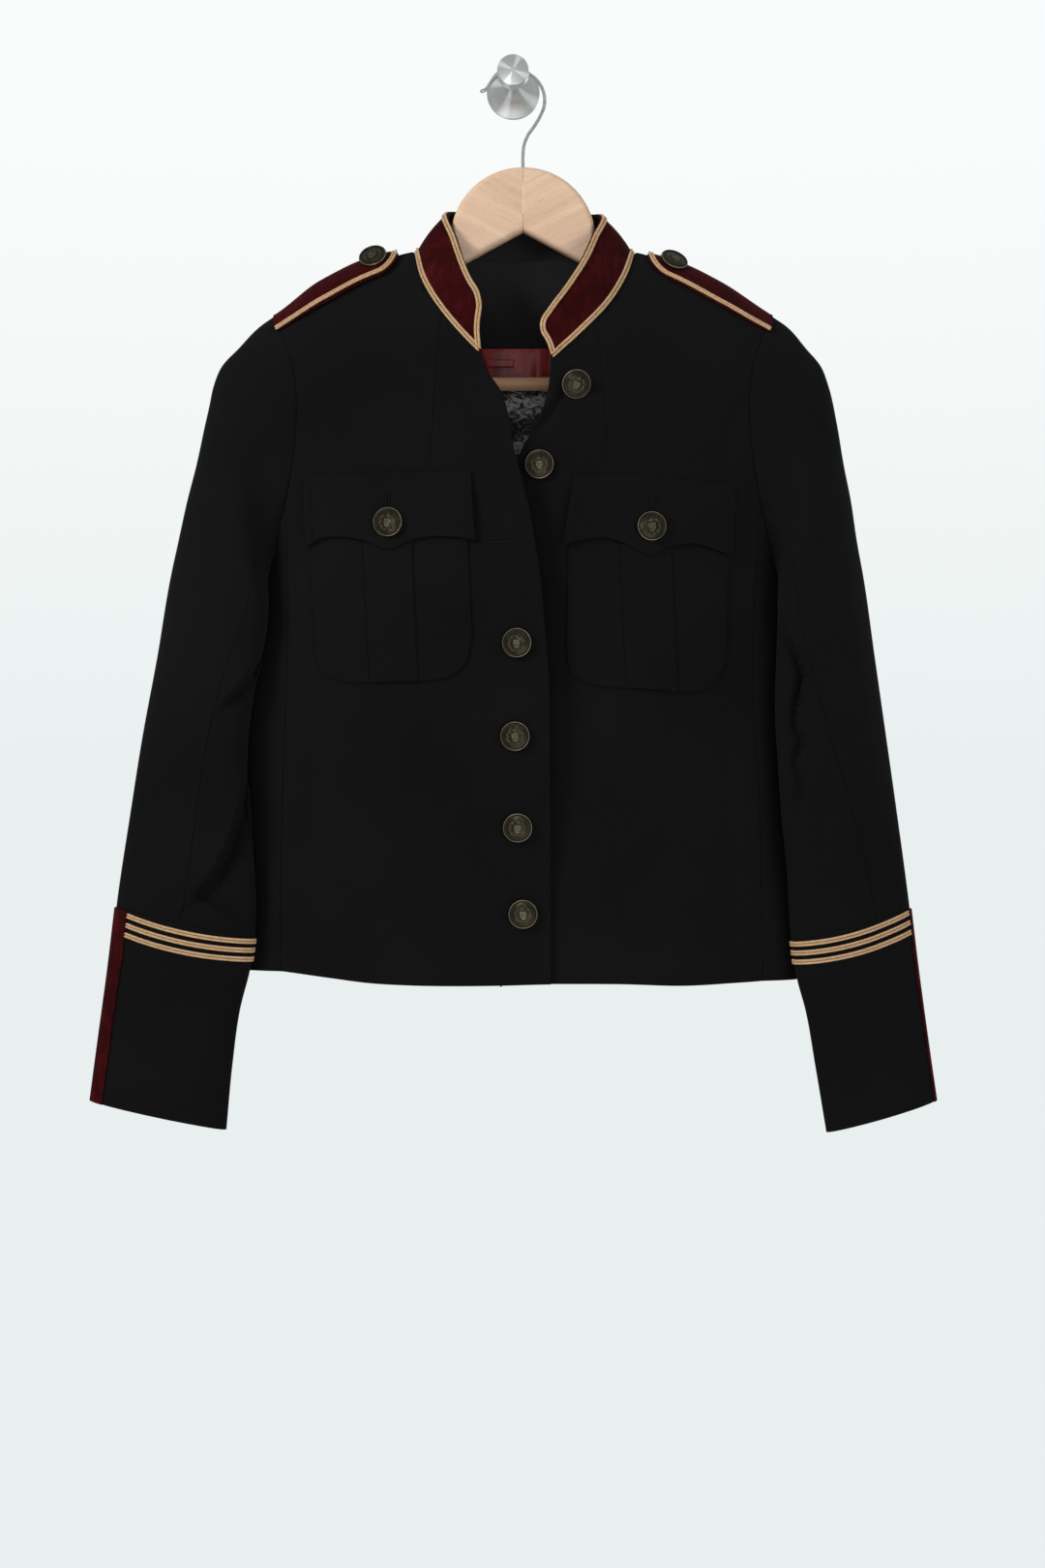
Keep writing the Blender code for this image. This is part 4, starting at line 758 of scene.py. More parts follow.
def stitches(path, normals, length=2.1, pitch=2.8, radius=0.24):
    """A row of stitches along a path on a surface."""
    run = run_of(path)
    parts = []
    for start in np.arange(pitch / 2, run[-1] - length, pitch):
        at = start + length * np.linspace(0, 1, 4)
        up = unit(read(at, run, normals))
        middle = read(at, run, path) + up * (radius * np.array([-0.9, 0.45, 0.45, -0.9]))[:, None]
        size = radius * np.array([0.6, 1, 1, 0.6])[:, None] * np.ones((1, STITCH_SIDES))
        parts.append(tube(middle, size, up, STITCH_SIDES))
    return joined(parts)


# --- materials ----------------------------------------------------------------------------------------


class Look:
    """A Principled material and the few nodes that its pattern needs."""

    def __init__(self, name, roughness, metallic=0.0, **sockets):
        self.material = bpy.data.materials.new(name)
        self.material.use_nodes = True
        self.tree = self.material.node_tree
        self.shader = self.tree.nodes["Principled BSDF"]
        self.shader.inputs["Roughness"].default_value = roughness
        self.shader.inputs["Metallic"].default_value = metallic
        for socket, value in sockets.items():
            self.shader.inputs[socket.replace("_", " ")].default_value = value
        self.place = self.add("ShaderNodeTexCoord").outputs["Object"]

    def add(self, kind, inputs=None, **settings):
        node = self.tree.nodes.new(kind)
        for key, value in settings.items():
            setattr(node, key, value)
        for socket, value in (inputs or {}).items():
            if isinstance(value, bpy.types.NodeSocket):
                self.tree.links.new(value, node.inputs[socket])
            else:
                node.inputs[socket].default_value = value
        return node

    def turned(self, rotation=(0, 0, 0), scale=(1, 1, 1)):
        return self.add("ShaderNodeMapping", {"Vector": self.place, "Rotation": rotation, "Scale": scale}).outputs[0]

    def noise(self, scale, detail=2.0, place=None, distortion=0.0):
        node = self.add("ShaderNodeTexNoise", {"Vector": place or self.place, "Scale": scale, "Detail": detail,
                                               "Distortion": distortion})
        return node.outputs["Fac"]

    def wave(self, scale, place=None, distortion=0.0, direction="DIAGONAL", detail=1.0):
        node = self.add("ShaderNodeTexWave", {"Vector": place or self.place, "Scale": scale, "Distortion": distortion,
                                              "Detail": detail}, bands_direction=direction)
        return node.outputs["Fac"]

    def ramp(self, factor, *stops):
        """A colour ramp of (position, colour) stops."""
        node = self.add("ShaderNodeValToRGB", {"Fac": factor})
        elements = node.color_ramp.elements
        while len(elements) < len(stops):
            elements.new(0.5)
        for element, (where, colour) in zip(elements, stops):
            element.position = where
            element.color = (*colour, 1)
        return node.outputs["Color"]

    def level(self, factor, low, high):
        return self.add("ShaderNodeMapRange", {"Value": factor, "To Min": low, "To Max": high}).outputs["Result"]

    def mix(self, factor, a, b, blend="MIX"):
        node = self.add("ShaderNodeMix", data_type="RGBA", blend_type=blend)
        for index, value in ((0, factor), (6, a), (7, b)):
            if isinstance(value, bpy.types.NodeSocket):
                self.tree.links.new(value, node.inputs[index])
            else:
                node.inputs[index].default_value = value if index == 0 else (*value, 1)
        return node.outputs[2]

    def math(self, operation, a, b):
        return self.add("ShaderNodeMath", {0: a, 1: b}, operation=operation).outputs[0]

    def relief(self):
        return self.add("ShaderNodeAttribute", attribute_name="relief").outputs["Fac"]

    def colour(self, value):
        if isinstance(value, bpy.types.NodeSocket):
            self.tree.links.new(value, self.shader.inputs["Base Color"])
        else:
            self.shader.inputs["Base Color"].default_value = (*value, 1)

    def rough(self, socket):
        self.tree.links.new(socket, self.shader.inputs["Roughness"])

    def bump(self, *layers):
        """Bump layers of (height socket, strength, distance in metres), one over the other."""
        normal = None
        for height, strength, distance in layers:
            values = {"Height": height, "Strength": strength, "Distance": distance}
            if normal is not None:
                values["Normal"] = normal
            normal = self.add("ShaderNodeBump", values).outputs["Normal"]
        self.tree.links.new(normal, self.shader.inputs["Normal"])


def twill(name="black_twill", dark=(0.0028, 0.0028, 0.0031), light=(0.0048, 0.0048, 0.0052)):
    """Matt wool with a fine diagonal weave and pale lint."""
    look = Look(name, 0.95, Specular_IOR_Level=0.06, Sheen_Weight=0.012, Sheen_Roughness=0.5)
    cloudy = look.noise(9.0, 3.0)
    lint = look.noise(2600.0, 1.0)
    weave = look.wave(880.0, distortion=0.6)
    base = look.ramp(cloudy, (0.3, dark), (0.75, light))
    worn = look.mix(look.level(weave, 0.0, 0.35), base, tuple(1.9 * c for c in light))
    look.colour(look.mix(look.level(lint, -0.25, 0.3), worn, tuple(1.7 * c for c in light)))
    look.bump((look.noise(120.0, 2.0), 0.12, 0.0004), (weave, 0.35, 0.00008), (lint, 0.2, 0.00006))
    return look.material


def velvet():
    """Dark red pile, crushed in patches."""
    look = Look("burgundy_velvet", 0.75, Specular_IOR_Level=0.06, Sheen_Weight=0.05,
                Sheen_Roughness=0.35, Sheen_Tint=(0.8, 0.06, 0.08, 1))
    crush = look.noise(38.0, 3.0, distortion=1.2)
    streak = look.noise(90.0, 3.0, look.turned((0, 0.5, 0), (3.2, 1.0, 0.5)), 0.6)
    pile = look.noise(3200.0, 1.0)
    factor = look.math("MULTIPLY_ADD", crush, 0.6)
    look.tree.links.new(look.math("MULTIPLY", streak, 0.4), factor.node.inputs[2])
    base = look.ramp(factor, (0.34, (0.012, 0.0008, 0.001)), (0.5, (0.022, 0.0014, 0.0018)),
                     (0.68, (0.046, 0.0035, 0.0042)))
    look.colour(look.mix(look.level(pile, -0.1, 0.3), base, (0.062, 0.0052, 0.006)))
    look.bump((crush, 0.25, 0.0006), (pile, 0.5, 0.00012))
    return look.material


def gold():
    """Metallic braid, with painted shading: pale on its strands' crests and dark brown painted into the grooves
    between them.
    """
    look = Look("gold_braid", 0.5, 0.15, Specular_IOR_Level=0.5, Sheen_Weight=0.15, Sheen_Roughness=0.4)
    high = look.relief()
    # Painted shade in the grooves between the strands and painted light on their crests, read from the lobes.
    painted_strand_shading = look.ramp(high, (0.08, (0.1, 0.042, 0.014)), (0.42, (0.36, 0.19, 0.075)), (0.9, (0.57, 0.365, 0.185)))
    patch = look.noise(420.0, 2.0)
    look.colour(look.mix(look.level(patch, -0.3, 0.75), painted_strand_shading, (0.72, 0.52, 0.32)))
    look.bump((look.wave(2200.0, distortion=2.0), 0.3, 0.00008))
    return look.material


def thread(name, colour):
    look = Look(name, 0.75, Specular_IOR_Level=0.15, Sheen_Weight=0.015)
    look.colour(look.mix(look.noise(900.0), colour, tuple(1.6 * c for c in colour)))
    look.bump((look.wave(1800.0, distortion=1.0), 0.4, 0.0001))
    return look.material


def satin():
    look = Look("red_satin", 0.42, Specular_IOR_Level=0.35, Sheen_Weight=0.1, Sheen_Roughness=0.3,
                Sheen_Tint=(0.9, 0.2, 0.18, 1))
    streaks = look.noise(60.0, 3.0, look.turned((0, 0, 0), (4.0, 1.0, 0.35)), 0.4)
    look.colour(look.ramp(streaks, (0.3, (0.21, 0.016, 0.015)), (0.7, (0.44, 0.036, 0.032))))
    look.bump((streaks, 0.3, 0.0008), (look.wave(1500.0, direction="Z"), 0.2, 0.00005))
    return look.material


def woven_label():
    """A black label with a plain grey mottle in brushed horizontal bands."""
    look = Look("woven_label", 0.7, Specular_IOR_Level=0.3, Sheen_Weight=0.1)
    blots = look.noise(105.0, 5.0, look.turned((0, 0.3, 0), (1.0, 1.0, 1.9)), 2.8)
    bands = look.wave(9.5, direction="Z", distortion=2.5, detail=3.0)
    weave = look.wave(700.0, direction="X")
    factor = look.math("MULTIPLY", look.level(bands, 0.72, 1.08), blots)
    base = look.ramp(factor, (0.38, (0.02, 0.02, 0.024)), (0.47, (0.2, 0.21, 0.225)), (0.56, (0.9, 0.91, 0.95)))
    look.colour(look.mix(look.level(weave, 0.0, 0.15), base, (0.01, 0.01, 0.011)))
    look.bump((weave, 0.3, 0.00008), (blots, 0.3, 0.0002))
    return look.material


def brass():
    """Dark brass, pale on its raised crest and stained in its hollows, with a painted highlight in a thin ring on its
    rim.
    """
    look = Look("antique_brass", 0.38, 1.0)
    # relief carries the crest's wear and a painted rim highlight; the ramp turns its high values pale.
    high = look.relief()
    stain = look.noise(260.0, 4.0)
    factor = look.math("MULTIPLY_ADD", high, 0.75)
    look.tree.links.new(look.math("MULTIPLY", stain, 0.3), factor.node.inputs[2])
    look.colour(look.ramp(factor, (0.12, (0.02, 0.018, 0.012)), (0.42, (0.05, 0.044, 0.029)),
                          (0.66, (0.15, 0.13, 0.086)), (0.95, (0.42, 0.365, 0.255))))
    look.rough(look.level(stain, 0.2, 0.42))
    look.bump((stain, 0.25, 0.0002), (look.noise(1800.0), 0.15, 0.00008))
    return look.material


def beech(name, slope, painted_light_tint=(1, 1, 1)):
    """Pale beech whose grain runs along a direction that slopes by an angle from +X. painted_light_tint multiplies
    its colour, to paint in light where the wood sits in shade.
    """
    look = Look(name, 0.46, Specular_IOR_Level=0.45, Coat_Weight=0.12, Coat_Roughness=0.35)
    along = look.turned((0, slope, 0), (1, 1, 1))
    stretched = look.add("ShaderNodeMapping", {"Vector": along, "Scale": (0.07, 1.0, 1.0)}).outputs[0]
    bands = look.noise(75.0, 3.0, stretched, 0.6)
    fine = look.noise(600.0, 2.0, stretched)
    flecks = look.add("ShaderNodeTexNoise", {"Vector": look.add(
        "ShaderNodeMapping", {"Vector": along, "Scale": (0.3, 1.0, 1.0)}).outputs[0], "Scale": 900.0}).outputs["Fac"]
    base = look.ramp(bands, (0.28, (0.56, 0.36, 0.235)), (0.5, (0.64, 0.44, 0.305)), (0.75, (0.71, 0.52, 0.375)))
    base = look.mix(look.level(fine, -0.35, 0.45), base, (0.5, 0.31, 0.195))
    speck = look.add("ShaderNodeMapRange", {"Value": flecks, "From Min": 0.62, "From Max": 0.74,
                                            "To Max": 0.5}).outputs[0]
    base = look.mix(speck, base, (0.4, 0.23, 0.14))
    look.colour(look.mix(1.0, base, painted_light_tint, "MULTIPLY"))
    look.bump((fine, 0.12, 0.0002), (flecks, 0.1, 0.0001))
    return look.material


def wire():
    look = Look("polished_wire", 0.16, 1.0)
    smear = look.noise(300.0, 3.0)
    look.colour(look.ramp(smear, (0.3, (0.5, 0.5, 0.51)), (0.7, (0.66, 0.66, 0.66))))
    look.rough(look.level(smear, 0.1, 0.26))
    return look.material


# Turn of the painted highlight sectors on the peg.
HIGHLIGHT_SECTOR_TURN = math.radians(25)


def steel():
    """Turned steel, with its fine rings about the peg's axis, and pale sectors painted in as the highlights that such
    rings show.
    """
    look = Look("brushed_steel", 0.3, 1.0)
    apart = look.add("ShaderNodeSeparateXYZ", {0: look.place})
    radius = look.math("SQRT", look.math("ADD", look.math("POWER", apart.outputs["X"], 2.0),
                                         look.math("POWER", apart.outputs["Z"], 2.0)), 0.0)
    rings = look.add("ShaderNodeCombineXYZ", {"X": radius, "Y": apart.outputs["Y"]}).outputs[0]
    scratch = look.noise(5200.0, 2.0, rings)
    # Painted highlight: four pale sectors round the peg's axis, where its turned rings would catch the light.
    turn = look.math("ARCTAN2", apart.outputs["Z"], apart.outputs["X"])
    highlight_sector = look.math("COSINE", look.math("MULTIPLY", look.math("ADD", turn, HIGHLIGHT_SECTOR_TURN), 4.0), 0.0)
    metal = look.ramp(scratch, (0.25, (0.46, 0.46, 0.455)), (0.75, (0.7, 0.7, 0.69)))
    pale = look.add("ShaderNodeMapRange", {"Value": highlight_sector, "From Min": 0.35, "From Max": 1.0}).outputs["Result"]
    look.colour(look.mix(look.math("MULTIPLY", pale, 0.85), metal, (1.0, 1.0, 1.0)))
    look.rough(look.level(scratch, 0.36, 0.52))
    look.bump((scratch, 0.12, 0.00004))
    return look.material


# Each look's material and its slot.
LOOKS = {
    "twill": (twill(), "black_twill"),
    # A paler copy of the black twill for the facing and the collar's inner layer: painted light where they sit in
    # shade inside the neck.
    "inside": (twill("black_inside", (0.012, 0.012, 0.0126), (0.019, 0.019, 0.0198)), "black_twill"),
    "velvet": (velvet(), "burgundy_velvet"),
    "gold": (gold(), "gold_braid"),
    "satin": (satin(), "red_satin"),
    "label": (woven_label(), "woven_label"),
    "brass": (brass(), "antique_brass"),
    "stitch": (thread("black_thread", (0.0028, 0.0028, 0.003)), "black_twill"),
    "wire": (wire(), "hook_wire"),
    "steel": (steel(), "peg_steel"),
    "beech_right": (beech("beech_right", math.radians(-27)), "beech"),
    "beech_left": (beech("beech_left", math.radians(27)), "beech"),
    # The bar's copy is brightened and warmed: painted light over the shade it hangs in.
    "beech_bar": (beech("beech_bar", 0.0, (1.5, 1.2, 0.95)), "beech"),
}


# --- body pieces ------------------------------------------------------------------------------------


EDGE_FOLD, EDGE_SPAN, EDGE_FADE = 1.3, 26.0, 4  # the front edges and hem are folded back, so they are thicker


def gathered(flat, side):
    """The grid's columns drawn towards the dart, where it has one, so that the dart's line is sharp."""
    x, z = flat[..., 0], flat[..., 1]
    line = dart_x(side, z)
    gap = (x - line) / DART_GATHER
    near = np.clip(np.abs(gap), 0, 1)
    pulled = line + np.sign(gap) * DART_GATHER * near * (0.32 + 0.68 * near)
    strength = smoothstep((z - DART[side][0][0] + DART_FADE) / DART_FADE) * (np.abs(gap) < 1)
    strength[0], strength[:, 0], strength[:, -1] = 0, 0, 0
    return np.stack([x + (pulled - x) * strength, z], axis=-1)


def front_grid(side):
    """The outer face of a front, from the neck and shoulder down to the hem."""
    top = np.vstack([neck_front(side), shoulder(side)[1:]])
    outer = np.vstack([armhole_front(side), front_seam(side)[1:]])
    edge = resample(FRONT_EDGE[side], lengths(outer))
    hem_x = edge[-1, 0] + (outer[-1, 0] - edge[-1, 0]) * lengths(top)
    hem = np.stack([hem_x, hem_z(hem_x)], axis=1)
    hem[0], hem[-1] = edge[-1], outer[-1]
    flat = gathered(blend_patch(top, hem, edge, outer), side)
    grid = on_front(side, flat[..., 0], flat[..., 1])
    return grid[:, ::-1] if side == RIGHT else grid


def edge_thickness(grid, side):
    """Thicker along the folded front edge and the hem."""
    front = np.abs(grid[..., 0] - (grid[:, -1:, 0] if side == RIGHT else grid[:, :1, 0]))
    hem = grid[..., 2] - grid[-1, :, 2]
    fold = 1 - smoothstep((np.minimum(front, hem) - EDGE_SPAN) / EDGE_FADE)
    return CLOTH + EDGE_FOLD * fold * smoothstep((grid[0, :, 2].min() - grid[..., 2] - 6) / 20)


def back_grid():
    """The outer face of the back, with its columns running as seen from behind."""
    right = np.vstack([armhole_back(RIGHT), back_seam(RIGHT)[1:]])
    left = np.vstack([armhole_back(LEFT), back_seam(LEFT)[1:]])
    top = np.vstack([shoulder(RIGHT)[::-1], neck_back()[1:-1], shoulder(LEFT)])
    hem_x = right[-1, 0] + (left[-1, 0] - right[-1, 0]) * lengths(top)
    hem = np.stack([hem_x, hem_z(hem_x)], axis=1)
    flat = blend_patch(top, hem, right, left)
    return on_back(flat[..., 0], flat[..., 1])[:, ::-1]


def side_grid(side):
    _, top, turn = underarm(side)
    front, back = hem_z(side * HEM_SEAM_X), hem_z(side * BACK_SEAM_X)
    low = front + (back - front) * (turn + 1) / 2
    z = top + (low - top) * SEAM_STEPS[:, None]
    grid = round_side(side, z, turn[None, :])
    return grid[:, ::-1] if side == RIGHT else grid


def make_body():
    for side, word in SIDES.items():
        grid = front_grid(side)
        cloth(f"front_{word}", "cloth", grid, thickness=edge_thickness(grid, side), soft=0.7)
        cloth(f"side_{word}", "cloth", side_grid(side))
    cloth("back", "cloth", back_grid())


# --- sleeves -----------------------------------------------------------------------------------------


def sleeve_angles(side, t):
    """The angle of each column of a sleeve ring, in degrees: 0 at its outer line, 90 in front, 180 inside."""
    stops = [0, COLUMN_FRONT_SEAM, COLUMN_INNER, COLUMN_BACK_SEAM, COLUMNS]
    angles = [0, float(table(t, FRONT_SEAM_ANGLE[side])), 180, BACK_SEAM_ANGLE[side], 360]
    even = np.interp(np.arange(COLUMNS + 1), stops, angles)
    z = armhole(side)[:, 2]
    middle, reach = (z[0] + UNDERARM_Z) / 2, (z[0] - UNDERARM_Z) / 2
    first = np.degrees(np.arccos(np.clip((z - middle) / reach, -1, 1)))
    first[COLUMN_INNER + 1 :] = 360 - first[COLUMN_INNER + 1 :]
    return first + (even - first) * smoothstep(t / HEAD_FADE)


def sleeve_relief(side, x, z):
    """How far the front of a sleeve stands out from its plain form."""
    out = 0.8 * soft_waves(x * 1.3, z) - troughs(x, z, SLEEVE_SOFT[side])
    for points, step, rise, reach in SLEEVE_CREASES[side]:
        right, along = distance_to(x, z, points)
        gap = -right
        inside = smoothstep((gap + 0.5) / 1.8)
        fall = step * inside * np.exp(-np.clip(gap, 0, None) / reach)
        ridge = rise * np.exp(-np.clip(-gap, 0, None) / (0.6 * reach)) * (1 - inside)
        out = out + (ridge - fall) * fade_ends(0.06 + 0.88 * along)
    for points, high, reach in SLEEVE_RIDGES[side]:
        gap, along = distance_to(x, z, points)
        out = out + high * np.exp(-np.abs(gap) / reach) * fade_ends(along)
    return out


def sleeve_points(side, t, angle):
    """Points on the sleeve's outer face at angle and at length t, from 0 at the armhole to 1 at the cuff's edge.
    They leave out the armhole's shape."""
    outer = resample(SLEEVE_OUTER[side], [t])[0]
    inner = resample(SLEEVE_INNER[side], [t**SLEEVE_SHIFT])[0]
    cosine, sine = np.cos(np.radians(angle)), np.sin(np.radians(angle))
    middle, half = (outer + inner) / 2, (outer - inner) / 2
    x = side * (middle[0] + half[0] * cosine)
    z = middle[1] + half[1] * cosine
    blunt = np.sign(sine) * np.abs(sine) ** np.where(cosine > 0, table(t, SLEEVE_BLUNT), 1)
    lean = table(t, SLEEVE_LEAN) * (1 + cosine) / 2 + table(t, SLEEVE_INNER_LEAN) * (1 - cosine) / 2
    y = table(t, SLEEVE_Y) + lean - table(t, SLEEVE_DEPTH) * blunt
    face = np.sign(sine) * smoothstep(np.abs(sine) / 0.35)
    relief = np.where(sine > 0, sleeve_relief(side, x, z), 0.8 * soft_waves(x + 90, z))
    y = y - face * relief * smoothstep(t / 0.1)
    return np.stack([x, y, z], axis=-1)


def sleeve_ring(side, t):
    ring = sleeve_points(side, t, sleeve_angles(side, t))
    fade = max(0.0, 1 - t / HEAD_FADE) ** 2
    return ring + (armhole(side)[np.r_[0:COLUMNS, 0]] - sleeve_start(side)) * fade


@functools.lru_cache
def sleeve_start(side):
    return sleeve_points(side, 0.0, sleeve_angles(side, 0.0))


def sleeve_grid(side, steps):
    """Rings down the sleeve. Columns run from the outer line, over the front and the inside, round the back."""
    return np.stack([sleeve_ring(side, float(t)) for t in steps])


def columns_of(grid, first, last):
    """Columns first to last of a ring grid, counted round and round."""
    return grid[:, np.arange(first, last + 1) % COLUMNS]


def facing_out(grid, side):
    """Columns run to the right as seen from outside: the left sleeve's are counted the other way."""
    return grid if side == RIGHT else grid[:, ::-1]


CUFF_LENGTH = 146.0
CUFF_BRAID_WIDTH, CUFF_BRAID_FIRST, CUFF_BRAID_PITCH = 4.1, 4.0, 7.2


def make_sleeves():
    for side, word in SIDES.items():
        sleeve = sleeve_grid(side, SLEEVE_STEPS)
        top = facing_out(columns_of(sleeve, COLUMN_BACK_SEAM - COLUMNS, COLUMN_FRONT_SEAM), side)
        under = facing_out(columns_of(sleeve, COLUMN_FRONT_SEAM, COLUMN_BACK_SEAM), side)
        for name, grid in (("topsleeve", top), ("undersleeve", under)):
            cloth(f"{name}_{word}", "cloth", grid)
        make_cuff(side, word)


CUFF_SAG = 4.6  # how far the cuff's braids sag across its front and back


def sagging_rings(side, middle):
    """Three close rings round the cuff at middle below its seam, which sag between its two folds."""
    steps = np.linspace(-CUFF_SAG, CUFF_LENGTH / 4, 40)
    grid = sleeve_grid(side, CUFF_START + (1 - CUFF_START) * steps / CUFF_LENGTH)
    turn = np.radians(sleeve_angles(side, 0.9))
    sag = CUFF_SAG * (np.sin(turn) ** 2 - 0.45)
    rings = []
    for shift in (-0.3, 0, 0.3):
        at = (middle + shift + sag + CUFF_SAG) / (steps[1] - steps[0])
        low = np.floor(at).astype(int)
        part = (at - low)[:, None]
        columns = np.arange(len(turn))
        rings.append(grid[low, columns] * (1 - part) + grid[low + 1, columns] * part)
    return np.stack(rings)


def make_cuff(side, word):
    """The cuff, the velvet strip down its outer edge and the three braids beside the strip."""
    cuff = sleeve_grid(side, CUFF_STEPS)
    first, last = VELVET_COLUMNS[side]
    strip = moved_out(facing_out(columns_of(cuff, first, last), side), VELVET + 0.15)
    cloth(f"cuff_velvet_{word}", "pile", strip, "velvet", VELVET, soft=0.55)
    for number in range(3):
        middle = CUFF_BRAID_FIRST + CUFF_BRAID_PITCH * number
        rings = facing_out(columns_of(sagging_rings(side, middle), last - 1, COLUMNS + first + 1), side)
        cords(f"cuff_braid_{number + 1}_{word}", rings[1], grid_normals(rings)[1], CUFF_BRAID_WIDTH)
    cloth(f"cuff_{word}", "cloth", facing_out(cuff, side), wrap=True)


# --- collar -------------------------------------------------------------------------------------------


@functools.lru_cache
def neck_seam():
    """The neck seam in space, from the right front's edge round the back to the left front's edge."""
    right, left = neck_front(RIGHT), neck_front(LEFT)[::-1]
    back = neck_back()[1:-1]
    return np.vstack([on_front(RIGHT, right[:, 0], right[:, 1]), on_back(back[:, 0], back[:, 1]),
                      on_front(LEFT, left[:, 0], left[:, 1])])


@functools.lru_cache
def collar_edges():
    """The collar's seam and top edge, point against point."""
    low = neck_seam()
    stops = [0, NECK_CELLS, NECK_CELLS + BACK_NECK_CELLS, len(low) - 1]
    low_stops, high_stops = lengths(low)[stops], lengths(np.array(COLLAR_TOP, float))[COLLAR_STOPS]
    return low, resample(COLLAR_TOP, np.interp(lengths(low), low_stops, high_stops))


COLLAR_HEIGHT = 44.0


def collar_surface(along, up):
    """Points on the collar at fractions of the neck seam's length and of the stand's height."""
    along, up = np.broadcast_arrays(np.asarray(along, float), np.asarray(up, float))
    low, high = collar_edges()
    run = lengths(low)
    low, high = read(along, run, low), read(along, run, high)
    out = unit((low - [0, -45, 0]) * [1, 1, 0])
    swell = COLLAR_BULGE * np.sin(np.pi * up) + 0.35 * np.sin(along * 61 + 2.3 * up) * np.sin(np.pi * up)
    return low + (high - low) * up[..., None] + out * swell[..., None]


def collar_normals(along, up):
    step = 0.004
    across = collar_surface(along - step, up) - collar_surface(along + step, up)
    down = collar_surface(along, up - 5 * step) - collar_surface(along, up + 5 * step)
    return unit(np.cross(down, across))


def collar_path(points, spacing=1.2):
    """A smooth path over the collar through (fraction along, mm up), with its points and normals in space."""
    length = steps_of(neck_seam()).sum()
    line = np.array(points, float) * [length, 1]
    even, _ = stations(line, spacing)
    along, up = even[:, 0] / length, even[:, 1] / COLLAR_HEIGHT
    return collar_surface(along, up), collar_normals(along, up)


COLLAR_BRAID = 4.4


def make_collar():
    """The stand collar's two layers, the braid round its free edge and the braid on its seam."""
    along = np.linspace(1, 0, 170)[None, :]
    grid = collar_surface(along, np.linspace(1, 0, 17)[:, None])
    outer = cloth("collar_outer", "velvet", grid, "velvet", VELVET, soft=0.6)
    # The inner layer takes the paler twill copy: painted light over its shade.
    inner = cloth("collar_inner", "cloth", draw_in(moved_out(grid, -VELVET - LIE), 0.3), "inside", LINING)
    length = steps_of(neck_seam()).sum()
    side, high = 2.9 / length, COLLAR_HEIGHT - 3.2
    low = COLLAR_BRAID / 2 + 0.3
    bend = 4.0  # radius of the braid's turn at the collar's corners
    turn = np.radians(np.linspace(0, 90, 7))
    right = [(side + (bend / length) * (1 - math.sin(a)), high - bend + bend * math.cos(a)) for a in turn[::-1]]
    left = [(1 - s, u) for s, u in right[::-1]]
    edge = [(side, low + 1.5)] + right + left + [(1 - side, low + 1.5)]
    seam = [(0.003, low), (0.997, low)]
    for name, line in (("collar_braid_edge", edge), ("collar_braid_seam", seam)):
        cords(name, *collar_path(line), COLLAR_BRAID)


# --- epaulettes ----------------------------------------------------------------------------------------


def over_shoulder(side, x, across):
    """Points on the shoulder at |x|, at distance across along the cloth: negative in front of the ridge."""
    x, across = np.broadcast_arrays(np.asarray(x, float), np.asarray(across, float))
    drops = 60.0 * np.linspace(0, 1, 70) ** 2
    z = shoulder_z(x)[..., None] - drops
    where = side * x[..., None] + 0 * z
    y = np.where(across[..., None] < 0, front_y(side, where, z), back_y(where, z))
    steps = np.hypot(np.diff(y, axis=-1), np.diff(z, axis=-1))
    run = np.concatenate([0 * steps[..., :1], np.cumsum(steps, axis=-1)], axis=-1)
    points = np.empty(x.shape + (3,))
    for at in np.ndindex(x.shape):
        distance = abs(across[at])
        points[at] = (side * x[at], np.interp(distance, run[at], y[at]), np.interp(distance, run[at], z[at]))
    return points


STRAP_PAD = {RIGHT: 4.8, LEFT: 2.2}  # the straps are padded, and wider in the middle of their front edges
STRAP_WIDER = {RIGHT: 0.19, LEFT: 0.36}


def along_strap(x):
    return np.clip((x - STRAP_TIP_X) / (STRAP_END_X - STRAP_TIP_X), 0, 1)


def widened(side, x, across):
    return across * np.where(across < 0, 1 + STRAP_WIDER[side] * np.sin(np.pi * along_strap(x)), 1)


def strap_end_x(across):
    """The armhole end of the strap curves in along the seam."""
    return STRAP_END_X - 4.5 * (across / STRAP_FRONT) ** 2


def strap_half(across):
    return np.where(across < 0, STRAP_FRONT, STRAP_BACK)


def padding(side, x, inset):
    """How far the padded strap stands up at a distance in from its outline."""
    rise = 1 - np.exp(-np.clip(inset, 0, None) / 3.5)
    return STRAP_PAD[side] * rise * (1 - smoothstep((along_strap(x) - 0.6) / 0.4))


def strap_grid(side):
    """Rows across the strap, columns along it from its round end to the armhole."""
    turn = np.radians(np.linspace(86, -86, 45))[:, None]
    along = np.linspace(0, 1, 56)[None, :]
    across = strap_half(turn) * np.sin(turn) / math.sin(math.radians(86))
    tip = STRAP_TIP_X + STRAP_ROUND * (1 - np.cos(turn))
    x = tip + (strap_end_x(across) - tip) * along
    grid = over_shoulder(side, x, widened(side, x, across))
    rise = padding(side, x, np.minimum(strap_half(across) - np.abs(across), x - tip))
    return facing_out(grid[:, ::-1], side), facing_out(rise[:, ::-1], side)


